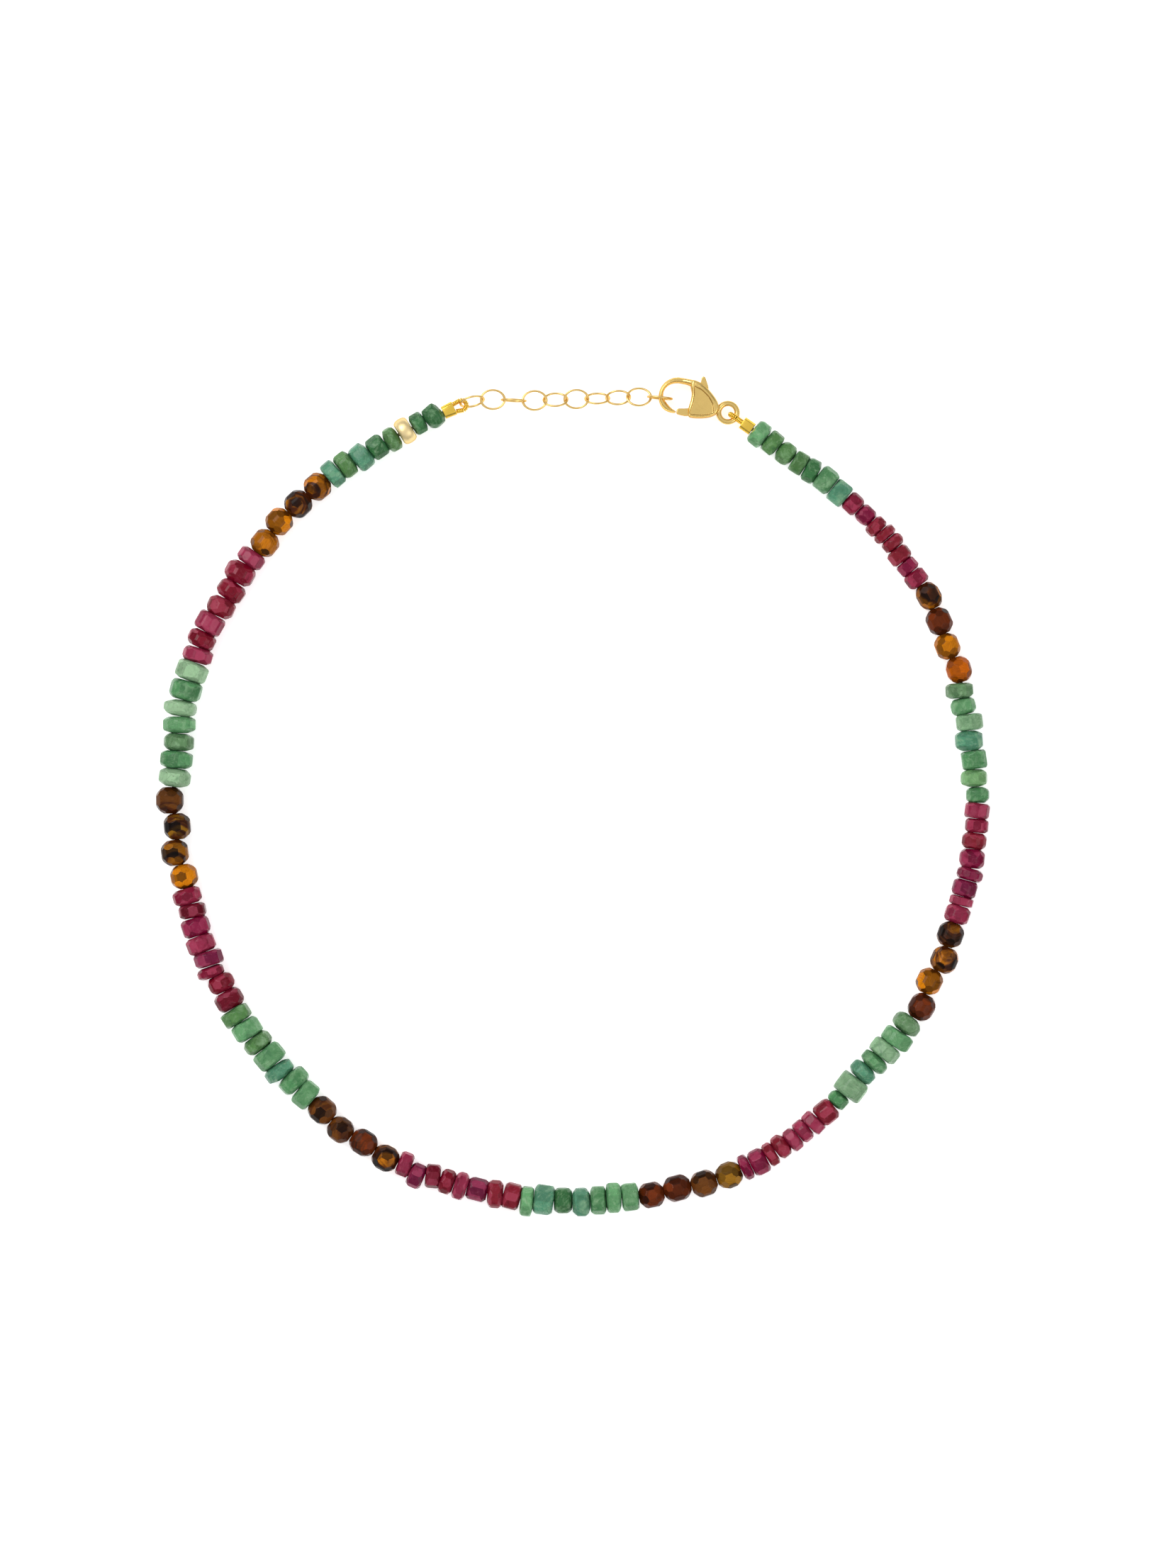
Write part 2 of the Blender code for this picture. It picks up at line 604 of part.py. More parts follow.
def round_bar(radius, low, high):
    """A bar on the pivot's axis."""
    bm = bmesh.new()
    bmesh.ops.create_cone(
        bm,
        cap_ends=True,
        segments=PIVOT_SIDES,
        radius1=radius,
        radius2=radius,
        depth=high - low,
        matrix=Matrix.Translation(at_pivot(0, 0) + Vector((0, 0, (low + high) / 2))),
    )
    return bm


def hook_mesh():
    """The hook's arm: from its root between the plates, round its ellipse, to the tapered tip."""
    stations = []
    for x, y, heading in HOOK_ROOT:
        stations.append((in_clasp([(x, y)])[0], math.radians(heading), HOOK_WIRE, HOOK_THICKNESS))
    for angle, width_share, thickness_share in HOOK_ARC:
        stations.append((*on_hook(angle), width_share * HOOK_WIRE, thickness_share * HOOK_THICKNESS))
    bm = bmesh.new()
    rings = []
    for place, heading, width, thickness in stations:
        frame = Matrix.Translation(place) @ Matrix.Rotation(heading, 4, "Z")
        rings.append(ring(bm, frame, width / 2, HOOK_SIDES, flatten=thickness / width))
    capped(bm, rings)
    return bm


def ring_mesh():
    """The soldered ring."""
    bm = bmesh.new()
    frames = oval_frames(RING_REACH, RING_REACH, RING_STEPS, Matrix.Identity(4))
    skin(bm, [ring(bm, frame, RING_WIRE / 2, RING_SIDES) for frame in frames], closed=True)
    return bm


def slot_outline():
    """The lever's slot: open to the outside where gate and tab swing, and round the hub elsewhere."""
    reach = CLASP_LENGTH
    gate = (GATE_SECTOR[0] - SECTOR_MARGIN, GATE_SECTOR[1] + LEVER_SWING + SECTOR_MARGIN)
    tab = (TAB_SECTOR[0] - SECTOR_MARGIN, TAB_SECTOR[1] + LEVER_SWING + SECTOR_MARGIN)
    points = []
    for sector, closed in ((gate, (gate[1], tab[0])), (tab, (tab[1], gate[0] + 360))):
        points += [at_pivot(sector[0], reach), at_pivot(sector[1], reach)]
        points += hub_points(closed, HUB_WIDTH / 2 + LEVER_CLEARANCE)
    return points


def make_clasp_body(base):
    """Two plates with the lever's slot between them, hook, soldered ring and pin, as one solid."""
    half = CLASP_THICKNESS / 2
    slot = LEVER_THICKNESS / 2 + LEVER_CLEARANCE
    body = finished("clasp_body", prism(in_clasp(PLATE_OUTLINE), -half, half, PLATE_EDGE), "gold", base)
    combine(body, helper("slot", prism(slot_outline(), -slot, slot), base), "DIFFERENCE")
    panel = prism(in_clasp(PANEL_OUTLINE), -half - PANEL_DEPTH, -half + PANEL_DEPTH)
    combine(body, helper("panel_recess", panel, base), "DIFFERENCE")
    combine(body, helper("hook", hook_mesh(), base), "UNION")
    combine(body, helper("soldered_ring", ring_mesh(), base), "UNION")
    pin = round_bar(PIVOT_WIDTH / 2, -half + 2 * PANEL_DEPTH, half - PANEL_DEPTH)
    combine(body, helper("pivot_pin", pin, base), "UNION")
    return body


def make_clasp_lever(pivot):
    """Gate, hub and thumb tab in one plate, which turns on the pin. Its origin is on the pin's axis."""
    half = LEVER_THICKNESS / 2
    radius = HUB_WIDTH / 2
    to_pivot = Matrix.Translation(-at_pivot(0, 0))
    gate_side = hub_points(HUB_BACK, radius) + gate_points()
    tab_side = hub_points(HUB_FRONT, radius) + in_clasp(TAB_OUTLINE)
    plate = prism(gate_side + tab_side, -half, half)
    plate.transform(to_pivot)
    lever = finished("clasp_lever", plate, "gold", pivot)
    hole = round_bar(PIVOT_WIDTH / 2 + PIVOT_CLEARANCE, -CLASP_THICKNESS, CLASP_THICKNESS)
    hole.transform(to_pivot)
    combine(lever, helper("pivot_hole", hole, pivot), "DIFFERENCE")
    return lever


# The whole necklace


def empty(name, parent=None, base=None):
    made = bpy.data.objects.new(name, None)
    bpy.context.scene.collection.objects.link(made)
    made.parent = parent
    if base is not None:
        made.matrix_local = base
    return made


def looking(start, end, height):
    """A frame at start with X towards end and Z up."""
    step = end - start
    turn = Matrix.Rotation(math.atan2(step.y, step.x), 4, "Z")
    return Matrix.Translation((start.x, start.y, height)) @ turn


def strand_from(start):
    """Every stone with its place, in groups of one kind, and where the strand ends."""
    groups = []
    for kind, rows in STRAND:
        stones = []
        for row in rows:
            stones.append(Stone(kind, start, row))
            start = stones[-1].end
        groups.append(stones)
    return groups, start


def thread_ends(before, after):
    """Where a run's thread stops on each side: in the middle of the drilled beads beside it, or nowhere."""
    back = ahead = None
    if before is not None and before[0].kind == TIGERS:
        back = before[len(before) // 2].start + PIECE_GAP / 2
    if after is not None and after[0].kind == TIGERS:
        ahead = after[len(after) // 2].start - PIECE_GAP / 2
    if after is not None and after[0].kind == ROUNDEL:
        ahead = after[0].end - PIECE_GAP / 2
    return back, ahead


def make_strand(groups, route, parent):
    counts = {EMERALDS: 0, RUBIES: 0, TIGERS: 0}
    for before, stones, after in zip([None] + groups, groups, groups[1:] + [None]):
        kind = stones[0].kind
        if kind == ROUNDEL:
            make_roundel(kind, stones[0], route, parent)
        elif kind == TIGERS:
            for stone in stones:
                counts[kind] += 1
                make_tiger(f"{kind}_{counts[kind]}", stone, route, parent)
        else:
            counts[kind] += 1
            make_run(f"{kind}_{counts[kind]}", stones, route, thread_ends(before, after), parent)


def make_guards(route, right_face, left_face, first_link, parent):
    """The right guard stands on edge round the clasp's ring. The left one lies flat round the first link."""
    on_edge = Matrix.Rotation(math.pi / 2, 4, "X")
    right = looking(route.point(right_face), route.point(0), CHAIN_HEIGHT) @ on_edge
    half = RIGHT_GUARD_WIDTH / 2
    make_guard("guard_right", right, half, RIGHT_GUARD_ROOT, RIGHT_GUARD_STRAIGHT, half, parent)
    left = looking(route.point(left_face), route.point(first_link), CHAIN_HEIGHT)
    half = LEFT_GUARD_WIDTH / 2
    make_guard("guard_left", left, half, LEFT_GUARD_ROOT, LEFT_GUARD_REACH - half, half, parent)


def make_clasp(route, parent):
    over = Matrix.Rotation(math.pi, 4, "X")
    base = looking(route.point(0), route.point(-CLASP_LENGTH), CHAIN_HEIGHT) @ over
    clasp = empty("clasp", parent, base)
    make_clasp_body(clasp)
    make_clasp_lever(empty("clasp_pivot", clasp, Matrix.Translation(at_pivot(0, 0))))


def stand_on_origin(root):
    """Moves the whole piece so that its box's middle is over the origin and its lowest point is at zero."""
    bpy.context.view_layer.update()
    graph = bpy.context.evaluated_depsgraph_get()
    corners = []
    for made in bpy.data.objects:
        if made.type == "MESH" and not made.hide_render:
            solid = made.evaluated_get(graph)
            corners += [solid.matrix_world @ Vector(corner) for corner in solid.bound_box]
    low = [min(corner[axis] for corner in corners) for axis in range(3)]
    high = [max(corner[axis] for corner in corners) for axis in range(3)]
    root.location = (-(low[0] + high[0]) / 2, -(low[1] + high[1]) / 2, -low[2])


def make_necklace():
    for old in list(bpy.data.objects):
        bpy.data.objects.remove(old)
    right_face = RING_REACH + RIGHT_GUARD_STRAIGHT
    groups, strand_end = strand_from(right_face + CRIMP_LENGTH + PIECE_GAP)
    left_crimp = strand_end + PIECE_GAP
    left_face = left_crimp + CRIMP_LENGTH
    links = [left_face + FIRST_LINK + k * LINK_PITCH for k in range(len(LINK_ROLLS))]
    route = Route(links[-1] + LAST_LINK)

    root = empty("necklace")
    make_strand(groups, route, root)
    make_crimp("crimp_right", route.frame(right_face + CRIMP_LENGTH / 2, CHAIN_HEIGHT), 1.0, root)
    make_crimp("crimp_left", route.frame(left_crimp + CRIMP_LENGTH / 2, CHAIN_HEIGHT), CRIMP_FLARE, root)
    make_guards(route, right_face, left_face, links[0], root)
    for k, (place, roll) in enumerate(zip(links, LINK_ROLLS), 1):
        make_link(f"chain_link_{k}", place, route, roll, root)
    make_clasp(route, root)
    stand_on_origin(root)


make_necklace()
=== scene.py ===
"""How a short gemstone necklace looks: cut stones, cast and coiled gold, chain, light and camera.

Metres, +Z up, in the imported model's own frame. Everything on the strand is placed by its length along the
same route as in the model. The clasp's hinge shows how far the whole model was moved to the origin.
"""

import bisect
import itertools
import json
import math
import random

import bmesh
import bpy
from mathutils import Matrix, Vector


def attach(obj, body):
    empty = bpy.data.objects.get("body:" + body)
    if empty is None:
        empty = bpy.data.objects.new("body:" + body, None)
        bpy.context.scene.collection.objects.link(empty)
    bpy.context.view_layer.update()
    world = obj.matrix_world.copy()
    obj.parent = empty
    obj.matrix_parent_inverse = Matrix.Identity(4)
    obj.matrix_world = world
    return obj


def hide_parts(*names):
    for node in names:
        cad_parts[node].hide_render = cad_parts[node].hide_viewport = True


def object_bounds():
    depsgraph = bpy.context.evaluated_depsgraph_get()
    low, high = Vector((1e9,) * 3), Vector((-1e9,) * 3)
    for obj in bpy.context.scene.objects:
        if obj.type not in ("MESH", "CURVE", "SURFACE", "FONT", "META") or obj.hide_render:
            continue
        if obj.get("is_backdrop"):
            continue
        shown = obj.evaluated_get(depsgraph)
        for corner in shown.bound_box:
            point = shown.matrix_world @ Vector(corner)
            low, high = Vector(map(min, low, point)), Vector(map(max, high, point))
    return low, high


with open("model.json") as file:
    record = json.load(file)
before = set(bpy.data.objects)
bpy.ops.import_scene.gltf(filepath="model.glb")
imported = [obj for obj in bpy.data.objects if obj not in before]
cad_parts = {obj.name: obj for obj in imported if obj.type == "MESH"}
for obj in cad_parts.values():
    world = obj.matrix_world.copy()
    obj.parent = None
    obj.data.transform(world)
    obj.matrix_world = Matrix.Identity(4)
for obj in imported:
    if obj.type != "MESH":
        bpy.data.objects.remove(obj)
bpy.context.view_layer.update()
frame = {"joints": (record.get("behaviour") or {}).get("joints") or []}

MM = 0.001
FINE = 0.001 * MM

# Stones, as in the model
EMERALD_WIDTH = 4.0 * MM
EMERALD_LENGTH = 2.5 * MM
RUBY_WIDTH = 3.8 * MM
RUBY_LENGTH = 2.3 * MM
TIGER_WIDTH = 3.8 * MM
TIGER_LENGTH = 3.8 * MM
ROUNDEL_WIDTH = 3.8 * MM
ROUNDEL_LENGTH = 2.3 * MM
STONE_SIDES = 10
ROUNDEL_SIDES = 12
THREAD_WIDTH = 0.5 * MM
HOLE_WIDTH = 0.8 * MM
BEAD_GAP = 0.3 * MM
PIECE_GAP = 0.12 * MM

# Crimps and guards
CRIMP_LENGTH = 1.7 * MM
CRIMP_WIDTH = 1.75 * MM
CRIMP_THICKNESS = 1.4 * MM
CRIMP_EDGE = 0.35 * MM
CRIMP_FLARE = 1.12
CRIMP_ROUNDING = CRIMP_EDGE / 5
GUARD_WIRE = 0.7 * MM
GUARD_CLEARANCE = 0.13 * MM
LEFT_GUARD_WIDTH = 1.44 * MM
LEFT_GUARD_REACH = 1.8 * MM
LEFT_GUARD_ROOT = 1.1 * MM
RIGHT_GUARD_STRAIGHT = 1.18 * MM
RIGHT_GUARD_ROOT = 0.84 * MM
COIL_WIRE = 0.24 * MM
COIL_PITCH = 0.235 * MM
COIL_LEAN = 0.3 * COIL_PITCH
GUARD_STEPS = 60

# Chain
LINK_LENGTH = 3.62 * MM
LINK_WIDTH = 2.95 * MM
LINK_WIRE = 0.29 * MM
LINK_GAP = 0.09 * MM
LINK_ROLLS = (65, 4, 90, -2, -43, 20, -53, 50, -20, 90)
FIRST_LINK_SLACK = 0.3 * MM
LAST_LINK_SLACK = 1.0 * MM

# Clasp
CLASP_LENGTH = 9.8 * MM
CLASP_THICKNESS = 3.0 * MM
HOOK_LENGTH = 4.9 * MM
HOOK_HEIGHT = 4.5 * MM
HOOK_RISE = 0.75 * MM
HOOK_WIRE = 0.85 * MM
HOOK_THICKNESS = 1.5 * MM
RING_WIDTH = 3.36 * MM
RING_WIRE = 0.76 * MM
LEVER_THICKNESS = 1.2 * MM
LEVER_CLEARANCE = 0.1 * MM
LEVER_SWING = 28
GATE_GAP = 0.06 * MM
HUB_WIDTH = 1.7 * MM
PIVOT_WIDTH = 0.7 * MM
PLATE_STEP = 0.16 * MM
PLATE_EDGE = 0.3 * MM
PANEL_DEPTH = 0.2 * MM
CASTING_GRAIN = 0.06 * MM
CASTING_SMOOTHING = 4
LEVER_SMOOTHING = 14
CORNER_CUT = 0.2

# Edges that turn by more than this, in degrees, are shaded sharp
SHARP = 35
CRIMP_SHARP = 30

THREAD_HEIGHT = (EMERALD_WIDTH + RUBY_WIDTH) / 4 * math.cos(math.pi / STONE_SIDES)
CHAIN_HEIGHT = max(CLASP_THICKNESS, LINK_WIDTH) / 2
RING_REACH = (RING_WIDTH - RING_WIRE) / 2
RIGHT_GUARD_WIDTH = RING_WIRE + GUARD_WIRE + 2 * GUARD_CLEARANCE
LINK_PITCH = LINK_LENGTH - 2 * LINK_WIRE - LINK_GAP
FIRST_LINK = LEFT_GUARD_REACH - GUARD_WIRE / 2 - FIRST_LINK_SLACK - LINK_WIRE + LINK_LENGTH / 2
LAST_LINK = CLASP_LENGTH - HOOK_WIRE / 2 - LAST_LINK_SLACK + LINK_LENGTH / 2 - LINK_WIRE

# The photograph's frame: its width and height in pixels, its scale, and the place of its middle
FRAME_WIDTH, FRAME_HEIGHT = 1659, 2212
PIXEL = 0.1 * MM
LOOK_AT = Vector((2.15 * MM, 1.5 * MM, 1.9 * MM))
LENS, SENSOR = 100, 36

# The loop's chosen points, clockwise from the clasp's ring, as shares of the radius that its length gives it
ROUTE = (
    (0.385, 0.953), (0.433, 0.920), (0.503, 0.870), (0.774, 0.649), (0.944, 0.345), (0.999, 0.000),
    (0.939, -0.341), (0.770, -0.645), (0.503, -0.872), (0.174, -0.992), (-0.174, -0.992), (-0.501, -0.867),
    (-0.761, -0.638), (-0.930, -0.338), (-0.990, 0.000), (-0.932, 0.339), (-0.763, 0.640), (-0.499, 0.863),
    (-0.390, 0.918), (-0.320, 0.953), (-0.260, 0.978), (-0.105, 0.983), (0.056, 0.988), (0.215, 0.990),
)
ROUTE_SAMPLES = 24

EMERALDS, RUBIES, TIGERS, ROUNDEL = "emerald_run", "ruby_run", "tiger_eye", "gold_roundel"
NOMINAL = {
    EMERALDS: (EMERALD_LENGTH, EMERALD_WIDTH),
    RUBIES: (RUBY_LENGTH, RUBY_WIDTH),
    TIGERS: (TIGER_LENGTH, TIGER_WIDTH),
    ROUNDEL: (ROUNDEL_LENGTH, ROUNDEL_WIDTH),
}

# Each stone in order, clockwise from the clasp. In hundredths of its kind's size: its length along the
# thread, its width, and how far it sits outwards. Then its lean in degrees, and its shade.
STRAND = (
    (EMERALDS, (
        (90, 95, 0, 3, "light"), (86, 87, 2, 5, "olive"), (104, 82, 0, 2, "olive"),
        (82, 82, 0, -3, "olive"), (83, 89, 2, -7, "deep"), (109, 92, 6, 2, "mid"), (101, 90, -1, 0, "teal"),
    )),
    (RUBIES, (
        (102, 80, 0, 3, "mid"), (108, 72, 0, 0, "magenta"), (79, 83, -2, 0, "brick"),
        (65, 88, 2, 0, "brick"), (79, 86, 5, -2, "brick"), (91, 88, -3, -2, "brick"),
        (83, 78, -1, -8, "magenta"), (96, 86, 2, -6, "mid"),
    )),
    (TIGERS, (
        (101, 90, 10, 0, "striped"), (100, 94, 2, 0, "red"), (95, 92, -6, 0, "golden"),
        (96, 94, 6, 0, "amber"),
    )),
    (EMERALDS, (
        (86, 99, -13, 10, "grey"), (96, 90, -12, -2, "light"), (94, 96, 0, 3, "pale"),
        (114, 101, -11, 3, "teal"), (106, 91, 0, -3, "mid"), (100, 96, -4, 2, "leaf"),
        (91, 84, 8, 0, "mid"),
    )),
    (RUBIES, (
        (95, 93, 8, 5, "pink"), (87, 88, 11, 0, "mid"), (101, 92, 6, 0, "brick"),
        (118, 95, 7, -4, "magenta"), (76, 99, 9, 5, "magenta"), (104, 93, 1, 3, "purple"),
        (57, 91, 1, 0, "pink"), (111, 96, -1, 2, "pink"),
    )),
    (TIGERS, (
        (93, 97, -2, 0, "dark"), (97, 100, 11, 0, "striped"), (95, 96, -6, 0, "golden"),
        (99, 97, 14, 0, "red"),
    )),
    (EMERALDS, (
        (103, 105, -1, 3, "grey"), (95, 111, 0, -3, "light"), (93, 111, -10, 0, "pale"),
        (83, 103, -11, 0, "mid"), (91, 99, -18, 0, "teal"), (123, 111, -11, -9, "pale"),
        (84, 76, -7, -6, "mid"),
    )),
    (RUBIES, (
        (123, 90, -2, 0, "brick"), (78, 95, 0, -10, "pink"), (83, 88, 2, -5, "pink"),
        (79, 90, 8, -6, "pink"), (90, 92, 5, -8, "brick"), (66, 92, 12, -3, "brick"),
        (106, 100, 16, 0, "magenta"), (64, 100, 12, -2, "magenta"),
    )),
    (TIGERS, (
        (97, 98, 14, 0, "olive"), (97, 97, 11, 0, "brown"), (103, 97, -2, 0, "red"), (95, 95, 1, 0, "red"),
    )),
    (EMERALDS, (
        (98, 99, -5, 2, "light"), (87, 110, -11, 4, "light"), (90, 101, -5, 2, "mid"),
        (102, 104, -1, 0, "teal"), (106, 94, -7, -2, "deep"), (115, 106, -7, 4, "teal"),
        (73, 107, 4, 0, "light"),
    )),
    (RUBIES, (
        (110, 101, -6, 6, "brick"), (97, 107, -4, -8, "brick"), (129, 88, -4, 0, "purple"),
        (82, 107, 0, 0, "pink"), (92, 95, 1, 0, "crimson"), (93, 91, -1, -16, "deep"),
        (97, 96, 21, 0, "purple"), (86, 95, 1, -4, "pink"),
    )),
    (TIGERS, (
        (97, 97, 12, 0, "striped"), (101, 95, 4, 0, "red"), (94, 95, 13, 0, "brown"),
        (100, 99, -2, 0, "brown"),
    )),
    (EMERALDS, (
        (105, 101, -4, -4, "light"), (101, 111, -11, 3, "mid"), (89, 109, 4, 7, "teal"),
        (110, 110, -4, 0, "light"), (91, 106, -1, 0, "olive"), (106, 105, 3, 4, "light"),
        (89, 109, 8, 0, "olive"),
    )),
    (RUBIES, (
        (115, 109, -1, 0, "deep"), (109, 100, -4, 2, "crimson"), (71, 103, 13, 6, "mid"),
        (91, 111, -2, 6, "purple"), (107, 109, 4, 0, "pink"), (114, 108, 0, 0, "magenta"),
        (87, 103, -6, 5, "deep"), (100, 109, -2, -2, "mid"),
    )),
    (TIGERS, (
        (90, 102, -7, 0, "golden"), (95, 102, 12, 0, "dark"), (97, 100, -8, 0, "olive"),
        (99, 103, 15, 0, "brown"),
    )),
    (EMERALDS, (
        (105, 116, -3, 5, "mint"), (99, 118, -4, 0, "mid"), (100, 109, -5, -5, "grey"),
        (95, 116, 2, -10, "light"), (93, 119, 10, -5, "mint"), (113, 116, 6, 0, "mid"),
        (110, 116, 4, 3, "mint"),
    )),
    (RUBIES, (
        (92, 114, 3, -4, "pink"), (104, 109, 11, 4, "crimson"), (118, 107, 8, 5, "pink"),
        (120, 106, -3, -4, "brick"), (116, 107, -7, 5, "crimson"), (129, 114, 0, -5, "crimson"),
        (96, 105, -3, 0, "pink"),
    )),
    (TIGERS, (
        (95, 102, -9, 0, "striped"), (95, 99, 3, 0, "golden"), (97, 100, -1, 0, "dark"),
        (95, 100, 0, 0, "striped"),
    )),
    (EMERALDS, (
        (83, 100, 1, -4, "teal"), (94, 96, 2, -4, "olive"), (104, 96, -7, -8, "teal"),
        (104, 85, -5, -8, "deep"), (86, 91, -5, -5, "olive"),
    )),
    (ROUNDEL, ((98, 100, 3, -7, "satin"),)),
    (EMERALDS, ((80, 79, 6, -3, "deep"), (108, 86, 4, -15, "deep"))),
)

# What each shade looks like: red, green and blue as seen, and for tiger's eye how much of it is light bands
SHADES = {
    EMERALDS: {
        "mint": (0.62, 0.77, 0.60), "pale": (0.54, 0.71, 0.53), "light": (0.42, 0.66, 0.44),
        "mid": (0.33, 0.57, 0.36), "deep": (0.23, 0.46, 0.26), "teal": (0.34, 0.59, 0.46),
        "olive": (0.34, 0.53, 0.29), "leaf": (0.48, 0.68, 0.44), "grey": (0.39, 0.55, 0.37),
    },
    RUBIES: {
        "pink": (0.62, 0.17, 0.30), "mid": (0.56, 0.08, 0.22), "brick": (0.56, 0.11, 0.18),
        "magenta": (0.53, 0.04, 0.24), "purple": (0.48, 0.06, 0.25), "crimson": (0.52, 0.03, 0.14),
        "deep": (0.44, 0.01, 0.12),
    },
    TIGERS: {
        "golden": (0.86, 0.51, 0.03, 0.90), "amber": (0.85, 0.42, 0.02, 0.88),
        "striped": (0.78, 0.46, 0.06, 0.54), "olive": (0.62, 0.43, 0.10, 0.48),
        "brown": (0.45, 0.26, 0.09, 0.62), "red": (0.46, 0.19, 0.06, 0.66), "dark": (0.62, 0.38, 0.07, 0.30),
    },
}

# How a stone is cut. Rows of facets: their tilt away from the girdle in degrees, how many go round, and the
# share of a facet by which the row is turned.
CUTS = {
    EMERALDS: ((0, 8, 0.0), (36, 7, 0.5), (64, 6, 0.0)),
    RUBIES: ((0, 9, 0.0), (30, 9, 0.5), (56, 8, 0.0)),
    TIGERS: ((0, 8, 0.0), (29, 8, 0.5), (53, 8, 0.0), (72, 6, 0.5)),
}
# Each cut's profile: a box at 1, an ellipse at 2 and a lens above that
SHAPES = {
    EMERALDS: (1.20, 1.34, 1.46, 1.58, 1.27),
    RUBIES: (1.24, 1.36, 1.48, 1.30, 1.42),
    TIGERS: (1.92, 1.98, 1.95),
}
# How far a facet strays: in turn as a share of a facet, in tilt as degrees, and in depth as a share
CUT_WANDER = {EMERALDS: (0.30, 7, 0.06), RUBIES: (0.16, 4, 0.04), TIGERS: (0.05, 1.5, 0.012)}
# How much longer than the stone its profile is, so that the drilled ends are flat
END_CUT = {EMERALDS: 1.0, RUBIES: 1.0, TIGERS: 1.07}
# What is left open between a stone and the next
STONE_GAP = {EMERALDS: 0.01 * MM, RUBIES: 0.01 * MM, TIGERS: 0.0}
# How far out the girdle's facets lie, as a share of the blank's radius
GIRDLE = 0.985
CUT_EDGE = 0.045 * MM
SOFT_CREASE = 0.42
BLANK_SIDES = 28
HOLE_SIDES = 10
SHORTEST_EDGE = 0.14 * MM

# The barrel bead's wall: place as a share of its length, and share of its radius
BARREL = ((-0.5, 0.72), (-0.46, 0.84), (-0.34, 0.94), (-0.18, 0.99), (0.0, 1.0))
BARREL_STEPS = 40

# Each gold: its colour as seen, its roughness, its tarnish, the size of its marks and their coarseness
GOLDS = {
    "cast_gold": ((0.95, 0.81, 0.49), 0.20, (0.8, 0.7, 0.5), 0.4 * MM, 0.0),
    "bright_gold": ((0.99, 0.83, 0.35), 0.16, (0.85, 0.75, 0.5), 0.3 * MM, 0.0),
    "chain_gold": ((0.95, 0.81, 0.52), 0.24, (0.8, 0.7, 0.5), 0.4 * MM, 0.0),
    "satin_gold": ((0.97, 0.88, 0.66), 0.38, (0.9, 0.85, 0.7), 0.12 * MM, 0.5),
}

# The clasp's outlines, as shares of CLASP_LENGTH from the ring's middle, towards the hook and the thumb tab
PIVOT = (0.429, 0.010)
PLATE_OUTLINE = (
    (0.607, 0.349), (0.501, 0.338), (0.408, 0.298), (0.331, 0.249), (0.245, 0.179), (0.184, 0.117),
    (0.138, 0.041), (0.148, -0.051), (0.235, -0.117), (0.343, -0.154), (0.449, -0.176), (0.546, -0.182),
    (0.573, -0.064), (0.558, 0.051), (0.564, 0.163), (0.607, 0.255),
)
PANEL_OUTLINE = (
    (0.557, 0.262), (0.530, 0.130), (0.523, 0.031), (0.534, -0.061), (0.540, -0.152), (0.367, -0.130),
    (0.196, -0.068), (0.238, 0.062), (0.322, 0.158), (0.429, 0.226),
)
TAB_OUTLINE = (
    (0.482, 0.327), (0.480, 0.403), (0.461, 0.431), (0.431, 0.429), (0.407, 0.393), (0.333, 0.260),
)
GATE_OUTLINE = (
    (0.555, -0.329), (0.992, -0.108), (1.0, -0.026), (0.955, 0.073), (0.892, 0.114), (0.484, -0.003),
)
HUB_BACK = (111, 300)
HUB_FRONT = (-20, 80)
HUB_STEP = 15
GATE_SECTOR = (-62, -20)
TAB_SECTOR = (80, 111)
SECTOR_MARGIN = 3

# The hook's arm: its root, then its ellipse, as angle in degrees, width and thickness shares
HOOK_ROOT = ((0.470, 0.285, 14), (0.560, 0.302, 6), (0.650, 0.309, 0))
HOOK_ARC = (
    (95, 1.00, 1.00), (80, 1.00, 1.00), (65, 0.97, 1.00), (50, 0.89, 1.00), (35, 0.80, 1.00),
    (20, 0.75, 1.00), (5, 0.73, 1.00), (-10, 0.77, 1.00), (-22, 0.88, 1.00), (-34, 1.00, 1.00),
    (-46, 1.09, 1.00), (-58, 1.06, 1.00), (-70, 0.86, 1.00), (-80, 0.63, 0.93), (-88, 0.43, 0.85),
    (-93, 0.28, 0.68),
)
# The band, which is the rounded rim that the arm runs out into on either face: place, width share, and how
# far its crest stands out from the clasp's middle plane, as a share of half the thickness. Then its depth,
# as a share of that height.
BAND = (
    (0.775, 0.300, 0.70, 0.42), (0.700, 0.309, 0.85, 0.56), (0.620, 0.306, 0.98, 0.76),
    (0.541, 0.297, 1.02, 0.92), (0.434, 0.252, 1.02, 1.00), (0.334, 0.190, 1.00, 1.00),
    (0.252, 0.122, 0.92, 0.98), (0.195, 0.048, 0.74, 0.92), (0.180, -0.030, 0.50, 0.80),
)
BAND_DEPTH = 0.5
BAR_SIDES = 16
GROOVES = 3
GROOVE_WIDTH = 0.22 * MM

# The studio: its colour near the floor and overhead, and how high up that is reached. Each lamp has its
# place, size and power.
SKY_LOW = (0.24, 0.24, 0.25, 1.0)
SKY_HIGH = (0.95, 0.95, 0.96, 1.0)
SKY_REACH = 0.75
SKY_STRENGTH = 0.78
FLOOR_SIZE = 3.0
FLOOR_GLOW = 0.58
LAMPS = {"key": ((-0.35, 0.30, 0.55), 0.35, 1.9), "fill": ((0.45, -0.25, 0.50), 0.45, 0.8)}


# Modelling by hand


def deselect():
    bpy.ops.object.select_all(action="DESELECT")


def pick(*pieces):
    """Selects only these, the first of them active."""
    deselect()
    for piece in pieces:
        piece.select_set(True)
    bpy.context.view_layer.objects.active = pieces[0]


def added(name):
    """The object that the last operator added, under its own name."""
    piece = bpy.context.active_object
    piece.name = name
    piece.data.name = name
    return piece


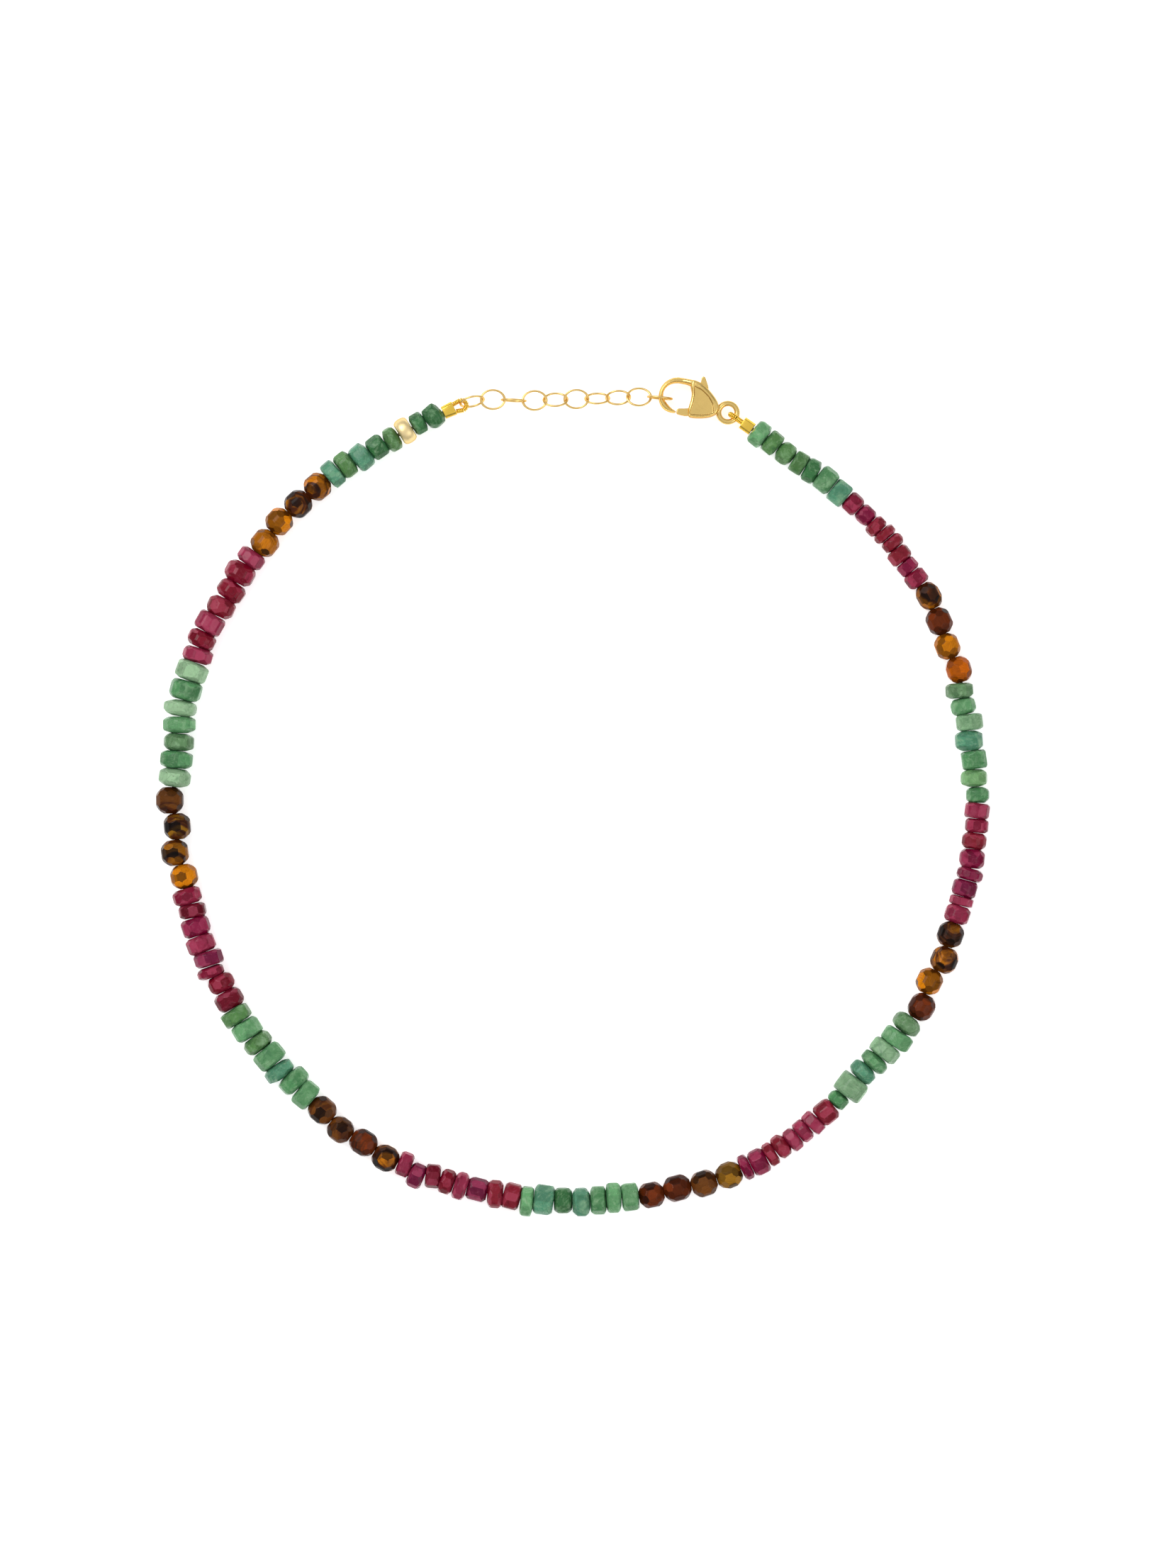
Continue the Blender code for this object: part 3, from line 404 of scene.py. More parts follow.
def settled(name):
    """The new object, with its place and turn taken into its mesh."""
    piece = added(name)
    bpy.ops.object.transform_apply()
    return piece


def rod(name, sides, radius, length):
    """A round rod along X."""
    bpy.ops.mesh.primitive_cylinder_add(
        vertices=sides, radius=radius, depth=length, rotation=(0, math.pi / 2, 0)
    )
    return settled(name)


def editing(on):
    bpy.ops.object.mode_set(mode="EDIT" if on else "OBJECT")


def select_all():
    bpy.ops.mesh.select_all(action="SELECT")


def select_points(piece, test):
    """In edit mode, selects the vertices whose place passes the test, with the edges and faces between."""
    bpy.ops.mesh.select_mode(type="VERT")
    bpy.ops.mesh.select_all(action="DESELECT")
    shape = bmesh.from_edit_mesh(piece.data)
    for vertex in shape.verts:
        vertex.select_set(test(vertex.co))
    shape.select_flush(True)
    bmesh.update_edit_mesh(piece.data)


def select_edges(piece, test):
    bpy.ops.mesh.select_mode(type="EDGE")
    bpy.ops.mesh.select_all(action="DESELECT")
    shape = bmesh.from_edit_mesh(piece.data)
    for edge in shape.edges:
        if test(edge.verts[0].co, edge.verts[1].co):
            edge.select_set(True)
    bmesh.update_edit_mesh(piece.data)


def outwards():
    select_all()
    bpy.ops.mesh.normals_make_consistent(inside=False)


def apply(piece, kind, **settings):
    """Adds a modifier with these settings and applies it."""
    pick(piece)
    step = piece.modifiers.new(kind.lower(), kind)
    for name, value in settings.items():
        setattr(step, name, value)
    bpy.ops.object.modifier_apply(modifier=step.name)


def combine(piece, other, operation):
    """Cuts the other piece away or unites it, and then removes it."""
    apply(piece, "BOOLEAN", operation=operation, object=other)
    bpy.data.objects.remove(other)


def joined(name, pieces):
    """Several pieces as one mesh."""
    pick(*pieces)
    bpy.ops.object.join()
    return added(name)


def united(name, pieces, grain):
    """Overlapping pieces as one closed skin of even faces."""
    piece = joined(name, pieces)
    apply(piece, "REMESH", mode="VOXEL", voxel_size=grain)
    return piece


def copied(piece, place):
    """A copy with its own mesh, at its place."""
    copy = piece.copy()
    copy.data = piece.data.copy()
    bpy.context.scene.collection.objects.link(copy)
    copy.data.transform(place)
    return copy


def dressed(piece, finish, node, body="necklace"):
    """The finished piece rides on its body, stands for its node and wears its material."""
    piece.data.materials.clear()
    piece.data.materials.append(finish)
    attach(piece, body)
    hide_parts(node)
    return piece


def drawn(name, points):
    """A flat face whose outline is drawn by extruding one vertex from point to point, left in edit mode."""
    bpy.ops.mesh.primitive_plane_add(size=MM)
    piece = added(name)
    editing(True)
    bpy.ops.mesh.select_mode(type="VERT")
    select_all()
    bpy.ops.mesh.merge(type="CENTER")
    bpy.ops.transform.translate(value=points[0])
    for here, there in zip(points, points[1:] + points[:1]):
        bpy.ops.mesh.extrude_vertices_move(TRANSFORM_OT_translate={"value": there - here})
    select_all()
    bpy.ops.mesh.remove_doubles(threshold=FINE)
    bpy.ops.mesh.edge_face_add()
    return piece


def plate(name, points, low, high):
    """A plate between two heights."""
    piece = drawn(name, [Vector((p.x, p.y, low)) for p in points])
    bpy.ops.mesh.extrude_region_move(TRANSFORM_OT_translate={"value": (0, 0, high - low)})
    outwards()
    editing(False)
    return piece


def bar(name, stations, sides):
    """A bar extruded from station to station, each with a frame across it, a width and a thickness."""
    bpy.ops.mesh.primitive_circle_add(vertices=sides, radius=MM)
    piece = added(name)
    editing(True)
    shape = bmesh.from_edit_mesh(piece.data)
    order = shape.verts.layers.int.new("order")
    for number, vertex in enumerate(shape.verts):
        vertex[order] = number
    bmesh.update_edit_mesh(piece.data)
    bpy.ops.mesh.select_mode(type="EDGE")
    select_all()
    for number, (across, width, thickness) in enumerate(stations):
        if number:
            bpy.ops.mesh.extrude_edges_move()
        shape = bmesh.from_edit_mesh(piece.data)
        order = shape.verts.layers.int["order"]
        for vertex in shape.verts:
            if vertex.select:
                angle = 2 * math.pi * vertex[order] / sides
                vertex.co = across @ Vector(
                    (0, width / 2 * math.cos(angle), thickness / 2 * math.sin(angle))
                )
        bmesh.update_edit_mesh(piece.data)
    select_all()
    bpy.ops.mesh.fill_holes(sides=0)
    outwards()
    editing(False)
    return piece


def rounded(points):
    """The outline with its corners cut twice, which rounds them."""
    for _ in range(2):
        cut = []
        for here, there in zip(points, points[1:] + points[:1]):
            cut += [here.lerp(there, CORNER_CUT), here.lerp(there, 1 - CORNER_CUT)]
        points = cut
    return points


# The route, as in the model


def headed(place, heading):
    """A frame at a place, with X at the heading and Z up."""
    return Matrix.Translation(place) @ Matrix.Rotation(heading, 4, "Z")


def looking(start, end, height):
    """A frame at start with X towards end and Z up."""
    step = end - start
    return headed((start.x, start.y, height), math.atan2(step.y, step.x))


def marks_along(points):
    """How far along the line each of its points is."""
    steps = ((b - a).length for a, b in zip(points, points[1:]))
    return list(itertools.accumulate(steps, initial=0.0))


def span_at(marks, at):
    """Which span of the line this distance along it falls in."""
    return min(bisect.bisect_right(marks, at), len(marks) - 1) - 1


def spline_points(points, samples):
    """Points of the smooth closed curve through the chosen points, which may be unevenly spaced."""
    count = len(points)
    points = [Vector(p) for p in points]
    spans = [(points[(i + 1) % count] - points[i]).length for i in range(count)]
    slopes = []
    for i in range(count):
        before, after = spans[i - 1], spans[i]
        into = (points[i] - points[i - 1]) / before
        out = (points[(i + 1) % count] - points[i]) / after
        slopes.append((into * after + out * before) / (before + after))
    made = []
    for i in range(count):
        start, end, span = points[i], points[(i + 1) % count], spans[i]
        for k in range(samples):
            t = k / samples
            made.append(
                start * (1 + 2 * t) * (1 - t) ** 2
                + slopes[i] * span * t * (1 - t) ** 2
                + end * t * t * (3 - 2 * t)
                + slopes[(i + 1) % count] * span * t * t * (t - 1)
            )
    return made


class Route:
    """The closed line that everything is strung on, scaled to the length that it is given."""

    def __init__(self, length):
        points = spline_points(ROUTE, ROUTE_SAMPLES)
        points.append(points[0].copy())
        marks = marks_along(points)
        radius = length / marks[-1]
        self.length = length
        self.points = [p * radius for p in points]
        self.marks = [m * radius for m in marks]
        self.shift = Vector((0, 0))

    def point(self, at):
        at %= self.length
        low = span_at(self.marks, at)
        share = (at - self.marks[low]) / (self.marks[low + 1] - self.marks[low])
        return self.points[low].lerp(self.points[low + 1], share) + self.shift

    def frame(self, at, height, outward=0.0, lean=0.0):
        """A frame on the route: X along it, Y outwards, to its left, and Z up. lean turns it about Z."""
        step = self.point(at + PIECE_GAP) - self.point(at - PIECE_GAP)
        heading = math.atan2(step.y, step.x)
        here = self.point(at)
        x = here.x - math.sin(heading) * outward
        y = here.y + math.cos(heading) * outward
        return headed((x, y, height), heading - math.radians(lean))


def lowest(sides):
    """How far a ring's lowest vertex is from its middle, as a share of its radius."""
    return max(math.sin(2 * math.pi * k / sides) for k in range(sides))


class Stone:
    """One stone of the strand, which lies on the floor at its place along the route."""

    def __init__(self, kind, start, row):
        length, width = NOMINAL[kind]
        length_share, width_share, outward = (share / 100 for share in row[:3])
        self.lean, self.shade = row[3:]
        self.kind = kind
        self.start = start
        self.length = length_share * length
        self.width = width_share * width
        self.outward = outward * width
        self.height = self.width / 2 * lowest(ROUNDEL_SIDES if kind == ROUNDEL else STONE_SIDES)
        self.end = start + self.length

    def frame(self, route):
        return route.frame((self.start + self.end) / 2, self.height, self.outward, self.lean)


def strand_from(start):
    """Every stone with its place, in groups of one kind, and where the strand ends."""
    groups = []
    for kind, rows in STRAND:
        stones = []
        for row in rows:
            stones.append(Stone(kind, start, row))
            start = stones[-1].end
        groups.append(stones)
    return groups, start


# Materials


def seen(colour):
    """A colour as seen, as the linear colour that a shader works with."""
    return tuple(((c + 0.055) / 1.055) ** 2.4 if c > 0.04045 else c / 12.92 for c in colour[:3])


class Wire:
    """A value in a material's nodes. Arithmetic on it adds Math nodes."""

    def __init__(self, finish, output):
        self.finish = finish
        self.output = output

    def math(self, operation, *others, clamp=False):
        values = dict(enumerate(others))
        node = self.finish.node("Math", {"operation": operation, "use_clamp": clamp}, values)
        return Wire(self.finish, node.outputs[0])

    def __add__(self, other):
        return self.math("ADD", self, other)

    def __sub__(self, other):
        return self.math("SUBTRACT", self, other)

    def __rsub__(self, other):
        return self.math("SUBTRACT", other, self)

    def __mul__(self, other):
        return self.math("MULTIPLY", self, other)

    __radd__ = __add__
    __rmul__ = __mul__

    def above(self, low, high):
        """From 0 where the value is low to 1 where it is high, and clamped there."""
        return self.math("DIVIDE", self - low, high - low, clamp=True)


class Finish:
    """One material being made, on its Principled shader."""

    def __init__(self, name, **constants):
        self.material = bpy.data.materials.new(name)
        self.material.use_nodes = True
        self.tree = self.material.node_tree
        self.shader = self.tree.nodes["Principled BSDF"]
        for label, value in constants.items():
            self.shader.inputs[label.replace("_", " ")].default_value = value

    def feed(self, socket, value):
        if isinstance(value, Wire):
            self.tree.links.new(value.output, socket)
        elif isinstance(value, tuple) and len(value) == 3 and socket.type == "RGBA":
            socket.default_value = (*value, 1.0)
        else:
            socket.default_value = value

    def node(self, kind, settings=None, sockets=None):
        """Any node: its settings and a ramp's stops first, then its sockets' values and links."""
        node = self.tree.nodes.new("ShaderNode" + kind)
        for label, value in (settings or {}).items():
            if label == "stops":
                ramp = node.color_ramp.elements
                while len(ramp) < len(value):
                    ramp.new(0.5)
                for stop, (position, colour) in zip(ramp, value):
                    stop.position = position
                    stop.color = (*colour, 1.0)
            else:
                setattr(node, label, value)
        for label, value in (sockets or {}).items():
            self.feed(node.inputs[label], value)
        return node

    def wire(self, node, output=0):
        return Wire(self, node.outputs[output])

    def attribute(self, name, output):
        return self.wire(self.node("Attribute", {"attribute_name": name}), output)

    def stone_marks(self):
        """What each stone carries: tone, place in its grain, the facet's painted sheen, and nearness to an
        end.
        """
        return (
            self.attribute("tone", "Color"), self.attribute("grain", "Vector"),
            self.attribute("facet", "Fac"), self.attribute("middle", "Fac"),
        )

    def place(self):
        return self.wire(self.node("TexCoord"), "Object")

    def stretched(self, vector, scale):
        return self.wire(self.node("Mapping", {}, {"Vector": vector, "Scale": scale}))

    def noise(self, vector, scale, detail=3.0, roughness=0.55, distortion=0.0):
        sockets = {
            "Vector": vector, "Scale": scale, "Detail": detail, "Roughness": roughness,
            "Distortion": distortion,
        }
        return self.wire(self.node("TexNoise", {}, sockets))

    def mixed(self, share, first, second):
        """Colours are blended here, never by a Math node."""
        return self.wire(self.node("Mix", {"data_type": "RGBA"}, {0: share, 6: first, 7: second}), 2)

    def scaled(self, colour, share):
        node = self.node("VectorMath", {"operation": "SCALE"}, {"Vector": colour, "Scale": share})
        return self.wire(node)

    def bump(self, height, depth):
        self.set("Normal", self.wire(self.node("Bump", {}, {"Height": height, "Distance": depth})))

    def set(self, label, value):
        self.feed(self.shader.inputs[label], value)


def emerald_finish():
    """Milky green stone with pale clouds, fine streaks, dark specks, a few cracks, painted facet sheen and
    painted shade at the ends.
    """
    finish = Finish(
        "milky_emerald", IOR=1.5, Specular_IOR_Level=0.18, Transmission_Weight=0.05, Subsurface_Weight=0.2,
        Subsurface_Radius=(0.5, 1.0, 0.6), Subsurface_Scale=0.5 * MM, Coat_Weight=0.06, Coat_Roughness=0.12,
    )
    tone, grain, facet, middle = finish.stone_marks()
    clouds = finish.noise(grain, 0.75, 4.0, 0.6, 0.6)
    streaks = finish.noise(finish.stretched(grain, (0.5, 1.2, 5.0)), 1.3, 3.0, 0.7, 0.4)
    specks = finish.noise(grain, 4.2, 2.0, 0.5)
    cells = finish.node(
        "TexVoronoi", {"feature": "DISTANCE_TO_EDGE"},
        {"Vector": finish.stretched(grain, (0.6, 1.0, 1.0)), "Scale": 0.55},
    )
    cracks = (1 - finish.wire(cells).above(0.012, 0.035)) * clouds.above(0.47, 0.56)
    # Painted sheen: each facet made brighter or darker at random, for the light each facet catches
    colour = finish.scaled(tone, facet * 0.40 + 0.66)
    colour = finish.mixed(clouds.above(0.50, 0.72) * 0.45, colour, seen((0.64, 0.80, 0.62)))
    colour = finish.mixed((1 - clouds.above(0.30, 0.46)) * 0.5, colour, seen((0.18, 0.40, 0.24)))
    colour = finish.mixed(streaks.above(0.54, 0.70) * 0.25, colour, seen((0.72, 0.85, 0.68)))
    # Painted shade: darker green towards the ends, where stones touch
    colour = finish.mixed(middle.above(0.70, 1.0) * 0.45, colour, seen((0.16, 0.38, 0.26)))
    colour = finish.mixed(specks.above(0.66, 0.71) * 0.5, colour, seen((0.20, 0.23, 0.13)))
    colour = finish.mixed(cracks * 0.22, colour, seen((0.16, 0.30, 0.19)))
    finish.set("Base Color", colour)
    finish.set("Roughness", 0.16 + clouds * 0.22)
    finish.bump(clouds * 0.6 + streaks * 0.25 + cracks * -0.3, 0.035 * MM)
    return finish.material


def ruby_finish():
    """Deep red stone, clear and deep in some facets, pale with painted sheen in others, with painted shade
    where stones touch.
    """
    finish = Finish(
        "cut_ruby", IOR=1.5, Specular_IOR_Level=0.14, Transmission_Weight=0.04, Subsurface_Weight=0.12,
        Subsurface_Radius=(1.0, 0.2, 0.35), Subsurface_Scale=0.5 * MM, Coat_Weight=0.05, Coat_Roughness=0.10,
    )
    tone, grain, facet, middle = finish.stone_marks()
    clouds = finish.noise(grain, 0.9, 4.0, 0.6, 0.5)
    streaks = finish.noise(finish.stretched(grain, (0.4, 1.0, 4.0)), 1.7, 3.0, 0.7, 0.3)
    # Painted sheen: each facet made brighter or darker at random, for the light each facet catches
    colour = finish.scaled(tone, facet * 0.55 + 0.62)
    # Pale pink partly painted sheen on the brighter facets and partly pale clouds in the stone
    sheen_and_clouds = facet.above(0.50, 1.0) * 0.46 + clouds.above(0.55, 0.75) * 0.26
    colour = finish.mixed(sheen_and_clouds, colour, seen((0.68, 0.30, 0.40)))
    colour = finish.mixed(streaks.above(0.56, 0.70) * 0.15, colour, seen((0.76, 0.44, 0.52)))
    colour = finish.mixed((1 - clouds.above(0.32, 0.45)) * 0.5, colour, seen((0.34, 0.01, 0.10)))
    # Painted shade: deeper red towards the ends, where stones touch
    colour = finish.mixed(middle.above(0.62, 1.0) * 0.55, colour, seen((0.40, 0.0, 0.10)))
    finish.set("Base Color", colour)
    finish.set("Roughness", 0.10 + clouds * 0.16)
    finish.bump(clouds * 0.4 + streaks * 0.3, 0.03 * MM)
    return finish.material


def tiger_finish():
    """Banded silky brown and gold stone under a clear polish, with painted facet sheen and painted shade
    where beads touch.
    """
    finish = Finish("tiger_eye", IOR=1.5, Specular_IOR_Level=0.08, Coat_Weight=0.04, Coat_Roughness=0.10)
    tone, grain, facet, middle = finish.stone_marks()
    balance = finish.attribute("tone", "Alpha")
    warp = finish.noise(grain, 0.45, 2.0, 0.5)
    bands = finish.noise(finish.stretched(grain, (0.10, 0.14, 1.5)), 0.62, 3.0, 0.6, 0.35)
    threads = finish.noise(finish.stretched(grain, (0.5, 5.0, 1.0)), 2.2, 2.0, 0.6)
    level = bands * 0.82 + warp * 0.18
    light = (level - 0.62 + balance * 0.28).above(-0.035, 0.035)
    rich = (level - 0.52 + balance * 0.28).above(-0.03, 0.06)
    colour = finish.mixed(rich, seen((0.12, 0.08, 0.05)), seen((0.30, 0.14, 0.06)))
    colour = finish.mixed(light, colour, tone)
    colour = finish.mixed((1 - threads.above(0.35, 0.55)) * 0.28, colour, seen((0.22, 0.10, 0.04)))
    # Painted sheen: each facet made brighter or darker at random, for the light each facet catches
    colour = finish.scaled(colour, facet * 1.05 + 0.10)
    # Painted shade: dark brown towards the ends, where beads touch
    colour = finish.mixed(middle.above(0.62, 1.0) * 0.65, colour, seen((0.30, 0.12, 0.04)))
    finish.set("Base Color", colour)
    finish.set("Roughness", 0.30 - light * 0.08)
    finish.bump(threads * 0.4 + bands * 0.5, 0.015 * MM)
    return finish.material


def gold_finish(name, colour, gloss, wear, wear_size, coarse):
    """Gold with a soft polish: cloudy roughness, faint tarnish and tiny marks in the surface."""
    finish = Finish(name, Metallic=1.0, Specular_Tint=(0.62, 0.42, 0.20, 1.0))
    place = finish.place()
    clouds = finish.noise(place, 1 / (1.6 * MM), 3.0)
    marks = finish.noise(place, 1 / wear_size, 4.0, 0.65)
    rub = finish.noise(finish.stretched(place, (1.0, 6.0, 6.0)), 1 / (0.6 * MM), 2.0)
    tint = finish.mixed(clouds.above(0.35, 0.70) * 0.5, seen(colour), seen([c * 0.93 for c in colour]))
    tint = finish.mixed(marks.above(0.60, 0.76) * 0.25, tint, seen([c * s for c, s in zip(colour, wear)]))
    finish.set("Base Color", tint)
    finish.set("Roughness", gloss + clouds * 0.10 + rub.above(0.5, 0.8) * 0.06)
    finish.bump(marks * (0.25 + coarse) + rub * 0.15, 0.01 * MM)
    return finish.material


def thread_finish():
    """Twisted pale silk."""
    finish = Finish("silk_thread", Sheen_Weight=0.4)
    twist = finish.noise(finish.stretched(finish.place(), (1.0, 1.0, 3.0)), 1 / (0.12 * MM), 2.0)
    finish.set("Base Color", finish.mixed(twist, seen((0.32, 0.26, 0.18)), seen((0.52, 0.45, 0.33))))
    finish.set("Roughness", 0.6 + twist * 0.25)
    finish.bump(twist, 0.02 * MM)
    return finish.material


# Stones


def facet_plane(kind, shape, tilt, angle, side, draw):
    """The outward normal of one facet and how far it lies from the stone's middle."""
    length, width = NOMINAL[kind]
    _, tilt_wander, depth_wander = CUT_WANDER[kind]
    lean = math.radians(tilt + (draw.uniform(-tilt_wander, tilt_wander) if tilt else 0.0))
    normal = Vector((
        side * math.sin(lean),
        math.cos(lean) * math.cos(angle),
        math.cos(lean) * math.sin(angle),
    ))
    along = (END_CUT[kind] * length / 2 * math.sin(lean)) ** shape
    across = (width / 2 * math.cos(lean)) ** shape
    reach = (along + across) ** (1 / shape) * (1 - draw.uniform(0.0, depth_wander))
    return normal, reach * (GIRDLE if tilt == 0 else 1.0)


def cut_stone(kind, shape, draw):
    """One stone of its kind at full size, its hole along X. Facets are ground off a round blank."""
    length, width = NOMINAL[kind]
    stone = rod(f"{kind}_master", BLANK_SIDES, width / 2, length)
    editing(True)
    normals = [Vector((1, 0, 0)), Vector((-1, 0, 0))]
    turn_wander = CUT_WANDER[kind][0]
    for tilt, count, turn in CUTS[kind]:
        for side in (1, -1) if tilt else (1,):
            for k in range(count):
                angle = 2 * math.pi * (k + turn + draw.uniform(-turn_wander, turn_wander)) / count
                normal, reach = facet_plane(kind, shape, tilt, angle, side, draw)
                normals.append(normal)
                select_all()
                bpy.ops.mesh.bisect(
                    plane_co=normal * reach, plane_no=normal, use_fill=True, clear_outer=True, threshold=FINE
                )
    select_all()
    bpy.ops.mesh.remove_doubles(threshold=SHORTEST_EDGE)
    outwards()
    if kind == EMERALDS:
        bpy.ops.transform.edge_crease(value=SOFT_CREASE)
        editing(False)
        apply(stone, "SUBSURF", levels=2, render_levels=2)
    else:
        bpy.ops.mesh.bevel(offset=CUT_EDGE, segments=1, affect="EDGES")
        editing(False)
    combine(stone, rod("drill", HOLE_SIDES, HOLE_WIDTH / 2, 2 * length), "DIFFERENCE")
    mark_facets(stone, normals, length, draw)
    return stone


def mark_facets(stone, normals, length, draw):
    """Keeps which facet each face belongs to, as a random brightness of painted sheen, and how far along the
    stone it lies.
    """
    facet_sheens = [draw.random() for _ in normals]
    mesh = stone.data
    # Each facet's random brightness, which the stone finishes use as painted sheen
    facet = mesh.attributes.new("facet", "FLOAT", "FACE")
    for polygon in mesh.polygons:
        nearest = max(range(len(normals)), key=lambda k: normals[k].dot(polygon.normal))
        facet.data[polygon.index].value = facet_sheens[nearest]
    # Nearness to an end, which the stone finishes use only for painted shade where stones touch
    middle = mesh.attributes.new("middle", "FLOAT", "POINT")
    for vertex in mesh.vertices:
        middle.data[vertex.index].value = min(1.0, abs(vertex.co.x) / (length / 2))


def strung(master, stone, route, draw):
    """A copy of a master stone at its place on the strand, in its own size, turn and shade."""
    length, width = NOMINAL[stone.kind]
    across = stone.width / width
    size = Matrix.Diagonal(((stone.length - STONE_GAP[stone.kind]) / length, across, across, 1))
    turn = Matrix.Rotation(draw.uniform(0, 2 * math.pi), 4, "X")
    copy = copied(master, size @ turn)
    mesh = copy.data
    count = len(mesh.vertices)
    fibres = Matrix.Rotation(draw.uniform(0, 2 * math.pi), 3, "Z")
    fibres = fibres @ Matrix.Rotation(draw.uniform(0, 1.2), 3, "Y")
    away = Vector([draw.uniform(0, 50) for _ in range(3)])
    grain = []
    for vertex in mesh.vertices:
        grain.extend(fibres @ vertex.co / MM + away)
    mesh.attributes.new("grain", "FLOAT_VECTOR", "POINT").data.foreach_set("vector", grain)
    shade = SHADES[stone.kind][stone.shade]
    balance = shade[3] if len(shade) > 3 else 1.0
    tone = [*seen(shade), balance] * count
    mesh.attributes.new("tone", "FLOAT_COLOR", "POINT").data.foreach_set("color", tone)
    mesh.transform(stone.frame(route))
    return copy


def make_strand(groups, route, finishes):
    """Each run of emeralds or rubies as one piece, and each tiger's eye bead as one."""
    draw = random.Random(7)
    masters = {kind: [cut_stone(kind, shape, draw) for shape in SHAPES[kind]] for kind in SHAPES}
    counts = {EMERALDS: 0, RUBIES: 0, TIGERS: 0}
    for stones in groups:
        kind = stones[0].kind
        if kind == ROUNDEL:
            make_roundel(stones[0], route, finishes)
            continue
        copies = [strung(draw.choice(masters[kind]), stone, route, draw) for stone in stones]
        if kind == TIGERS:
            for copy in copies:
                counts[kind] += 1
                copy.name = f"tiger_bead_{counts[kind]}"
                dressed(copy, finishes[kind], f"{kind}_{counts[kind]}")
        else:
            counts[kind] += 1
            label, slot = ("emerald_stones", "emerald") if kind == EMERALDS else ("ruby_stones", "ruby")
            run = joined(f"{label}_{counts[kind]}", copies)
            dressed(run, finishes[kind], f"{kind}_{counts[kind]}")
    for kind in masters:
        for master in masters[kind]:
            bpy.data.objects.remove(master)


def make_roundel(stone, route, finishes):
    """A gold barrel: its wall is drawn as half a section and spun round the thread."""
    length = stone.length - 2 * PIECE_GAP
    radius = stone.width / 2
    half = [Vector((place * length, share * radius, 0)) for place, share in BARREL]
    wall = half + [Vector((-p.x, p.y, 0)) for p in half[-2::-1]]
    hole = [Vector((side * length / 2, HOLE_WIDTH / 2, 0)) for side in (1, -1)]
    roundel = drawn("roundel_barrel", wall + hole)
    bpy.ops.mesh.delete(type="ONLY_FACE")
    select_all()
    bpy.ops.mesh.spin(steps=BARREL_STEPS, angle=2 * math.pi, center=(0, 0, 0), axis=(1, 0, 0))
    select_all()
    bpy.ops.mesh.remove_doubles(threshold=FINE)
    outwards()
    editing(False)
    bpy.ops.object.shade_smooth_by_angle(angle=math.radians(SHARP))
    roundel.data.transform(stone.frame(route))
    dressed(roundel, finishes["satin_gold"], ROUNDEL)


def make_thread(groups, route, strand_end, finish):
    """The thread where it shows: across the gaps at drilled beads, and out of the crimps."""
    spots = [groups[0][0].start, strand_end]
    for stones in groups:
        if stones[0].kind in (TIGERS, ROUNDEL):
            spots += [stone.start for stone in stones] + [stones[-1].end]
    master = rod("thread_master", 12, THREAD_WIDTH / 2, 4 * BEAD_GAP)
    editing(True)
    select_edges(master, lambda a, b: abs(a.x - b.x) < FINE)
    bpy.ops.mesh.bevel(offset=THREAD_WIDTH / 8, segments=2, affect="EDGES")
    editing(False)
    thread = joined("thread", [copied(master, route.frame(spot, THREAD_HEIGHT)) for spot in spots])
    bpy.data.objects.remove(master)
    thread.data.materials.append(finish)
    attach(thread, "necklace")


# Chain, crimps and guards


def make_links(places, route, finish):
    """Oval links: a ring of wire stretched along the chain."""
    bpy.ops.mesh.primitive_torus_add(
        major_radius=(LINK_WIDTH - LINK_WIRE) / 2, minor_radius=LINK_WIRE / 2,
        major_segments=44, minor_segments=12,
    )
    master = added("link_master")
    editing(True)
    select_all()
    bpy.ops.transform.resize(value=((LINK_LENGTH - LINK_WIRE) / (LINK_WIDTH - LINK_WIRE), 1, 1))
    editing(False)
    bpy.ops.object.shade_smooth()
    for number, (place, roll) in enumerate(zip(places, LINK_ROLLS), 1):
        turned = route.frame(place, CHAIN_HEIGHT) @ Matrix.Rotation(math.radians(roll), 4, "X")
        link = copied(master, turned)
        link.name = f"oval_link_{number}"
        dressed(link, finish, f"chain_link_{number}")
    bpy.data.objects.remove(master)


def guard_frames(half_width, root, straight, bend):
    """Evenly spaced frames along a guard's U, from one root to the other."""
    angles = [math.pi * (k / GUARD_STEPS - 0.5) for k in range(GUARD_STEPS + 1)]
    line = [Vector((straight + bend * math.cos(a), half_width * math.sin(a), 0)) for a in angles]
    line = [Vector((COIL_WIRE / 2, -root / 2, 0)), *line, Vector((COIL_WIRE / 2, root / 2, 0))]
    marks = marks_along(line)
    turns = round(marks[-1] / COIL_PITCH)
    frames = []
    for k in range(turns + 1):
        at = marks[-1] * k / turns
        span = span_at(marks, at)
        ahead = line[span + 1] - line[span]
        here = line[span] + ahead.normalized() * (at - marks[span])
        frames.append(headed(here, math.atan2(ahead.y, ahead.x)))
    return frames


def make_guard(name, base, half_width, root, straight, bend, finish):
    """A loop of coiled wire: one turn of the coil, copied along the loop."""
    bpy.ops.mesh.primitive_torus_add(
        major_radius=(GUARD_WIRE - COIL_WIRE) / 2, minor_radius=COIL_WIRE / 2,
        major_segments=18, minor_segments=8, rotation=(0, math.pi / 2, 0),
    )
    turn = settled("coil_turn")
    editing(True)
    select_points(turn, lambda co: co.y > 0)
    bpy.ops.transform.translate(value=(COIL_LEAN, 0, 0))
    editing(False)
    bpy.ops.object.shade_smooth()
    frames = guard_frames(half_width, root, straight, bend)
    coil = joined(f"coil_{name}", [copied(turn, base @ across) for across in frames])
    bpy.data.objects.remove(turn)
    dressed(coil, finish, name)


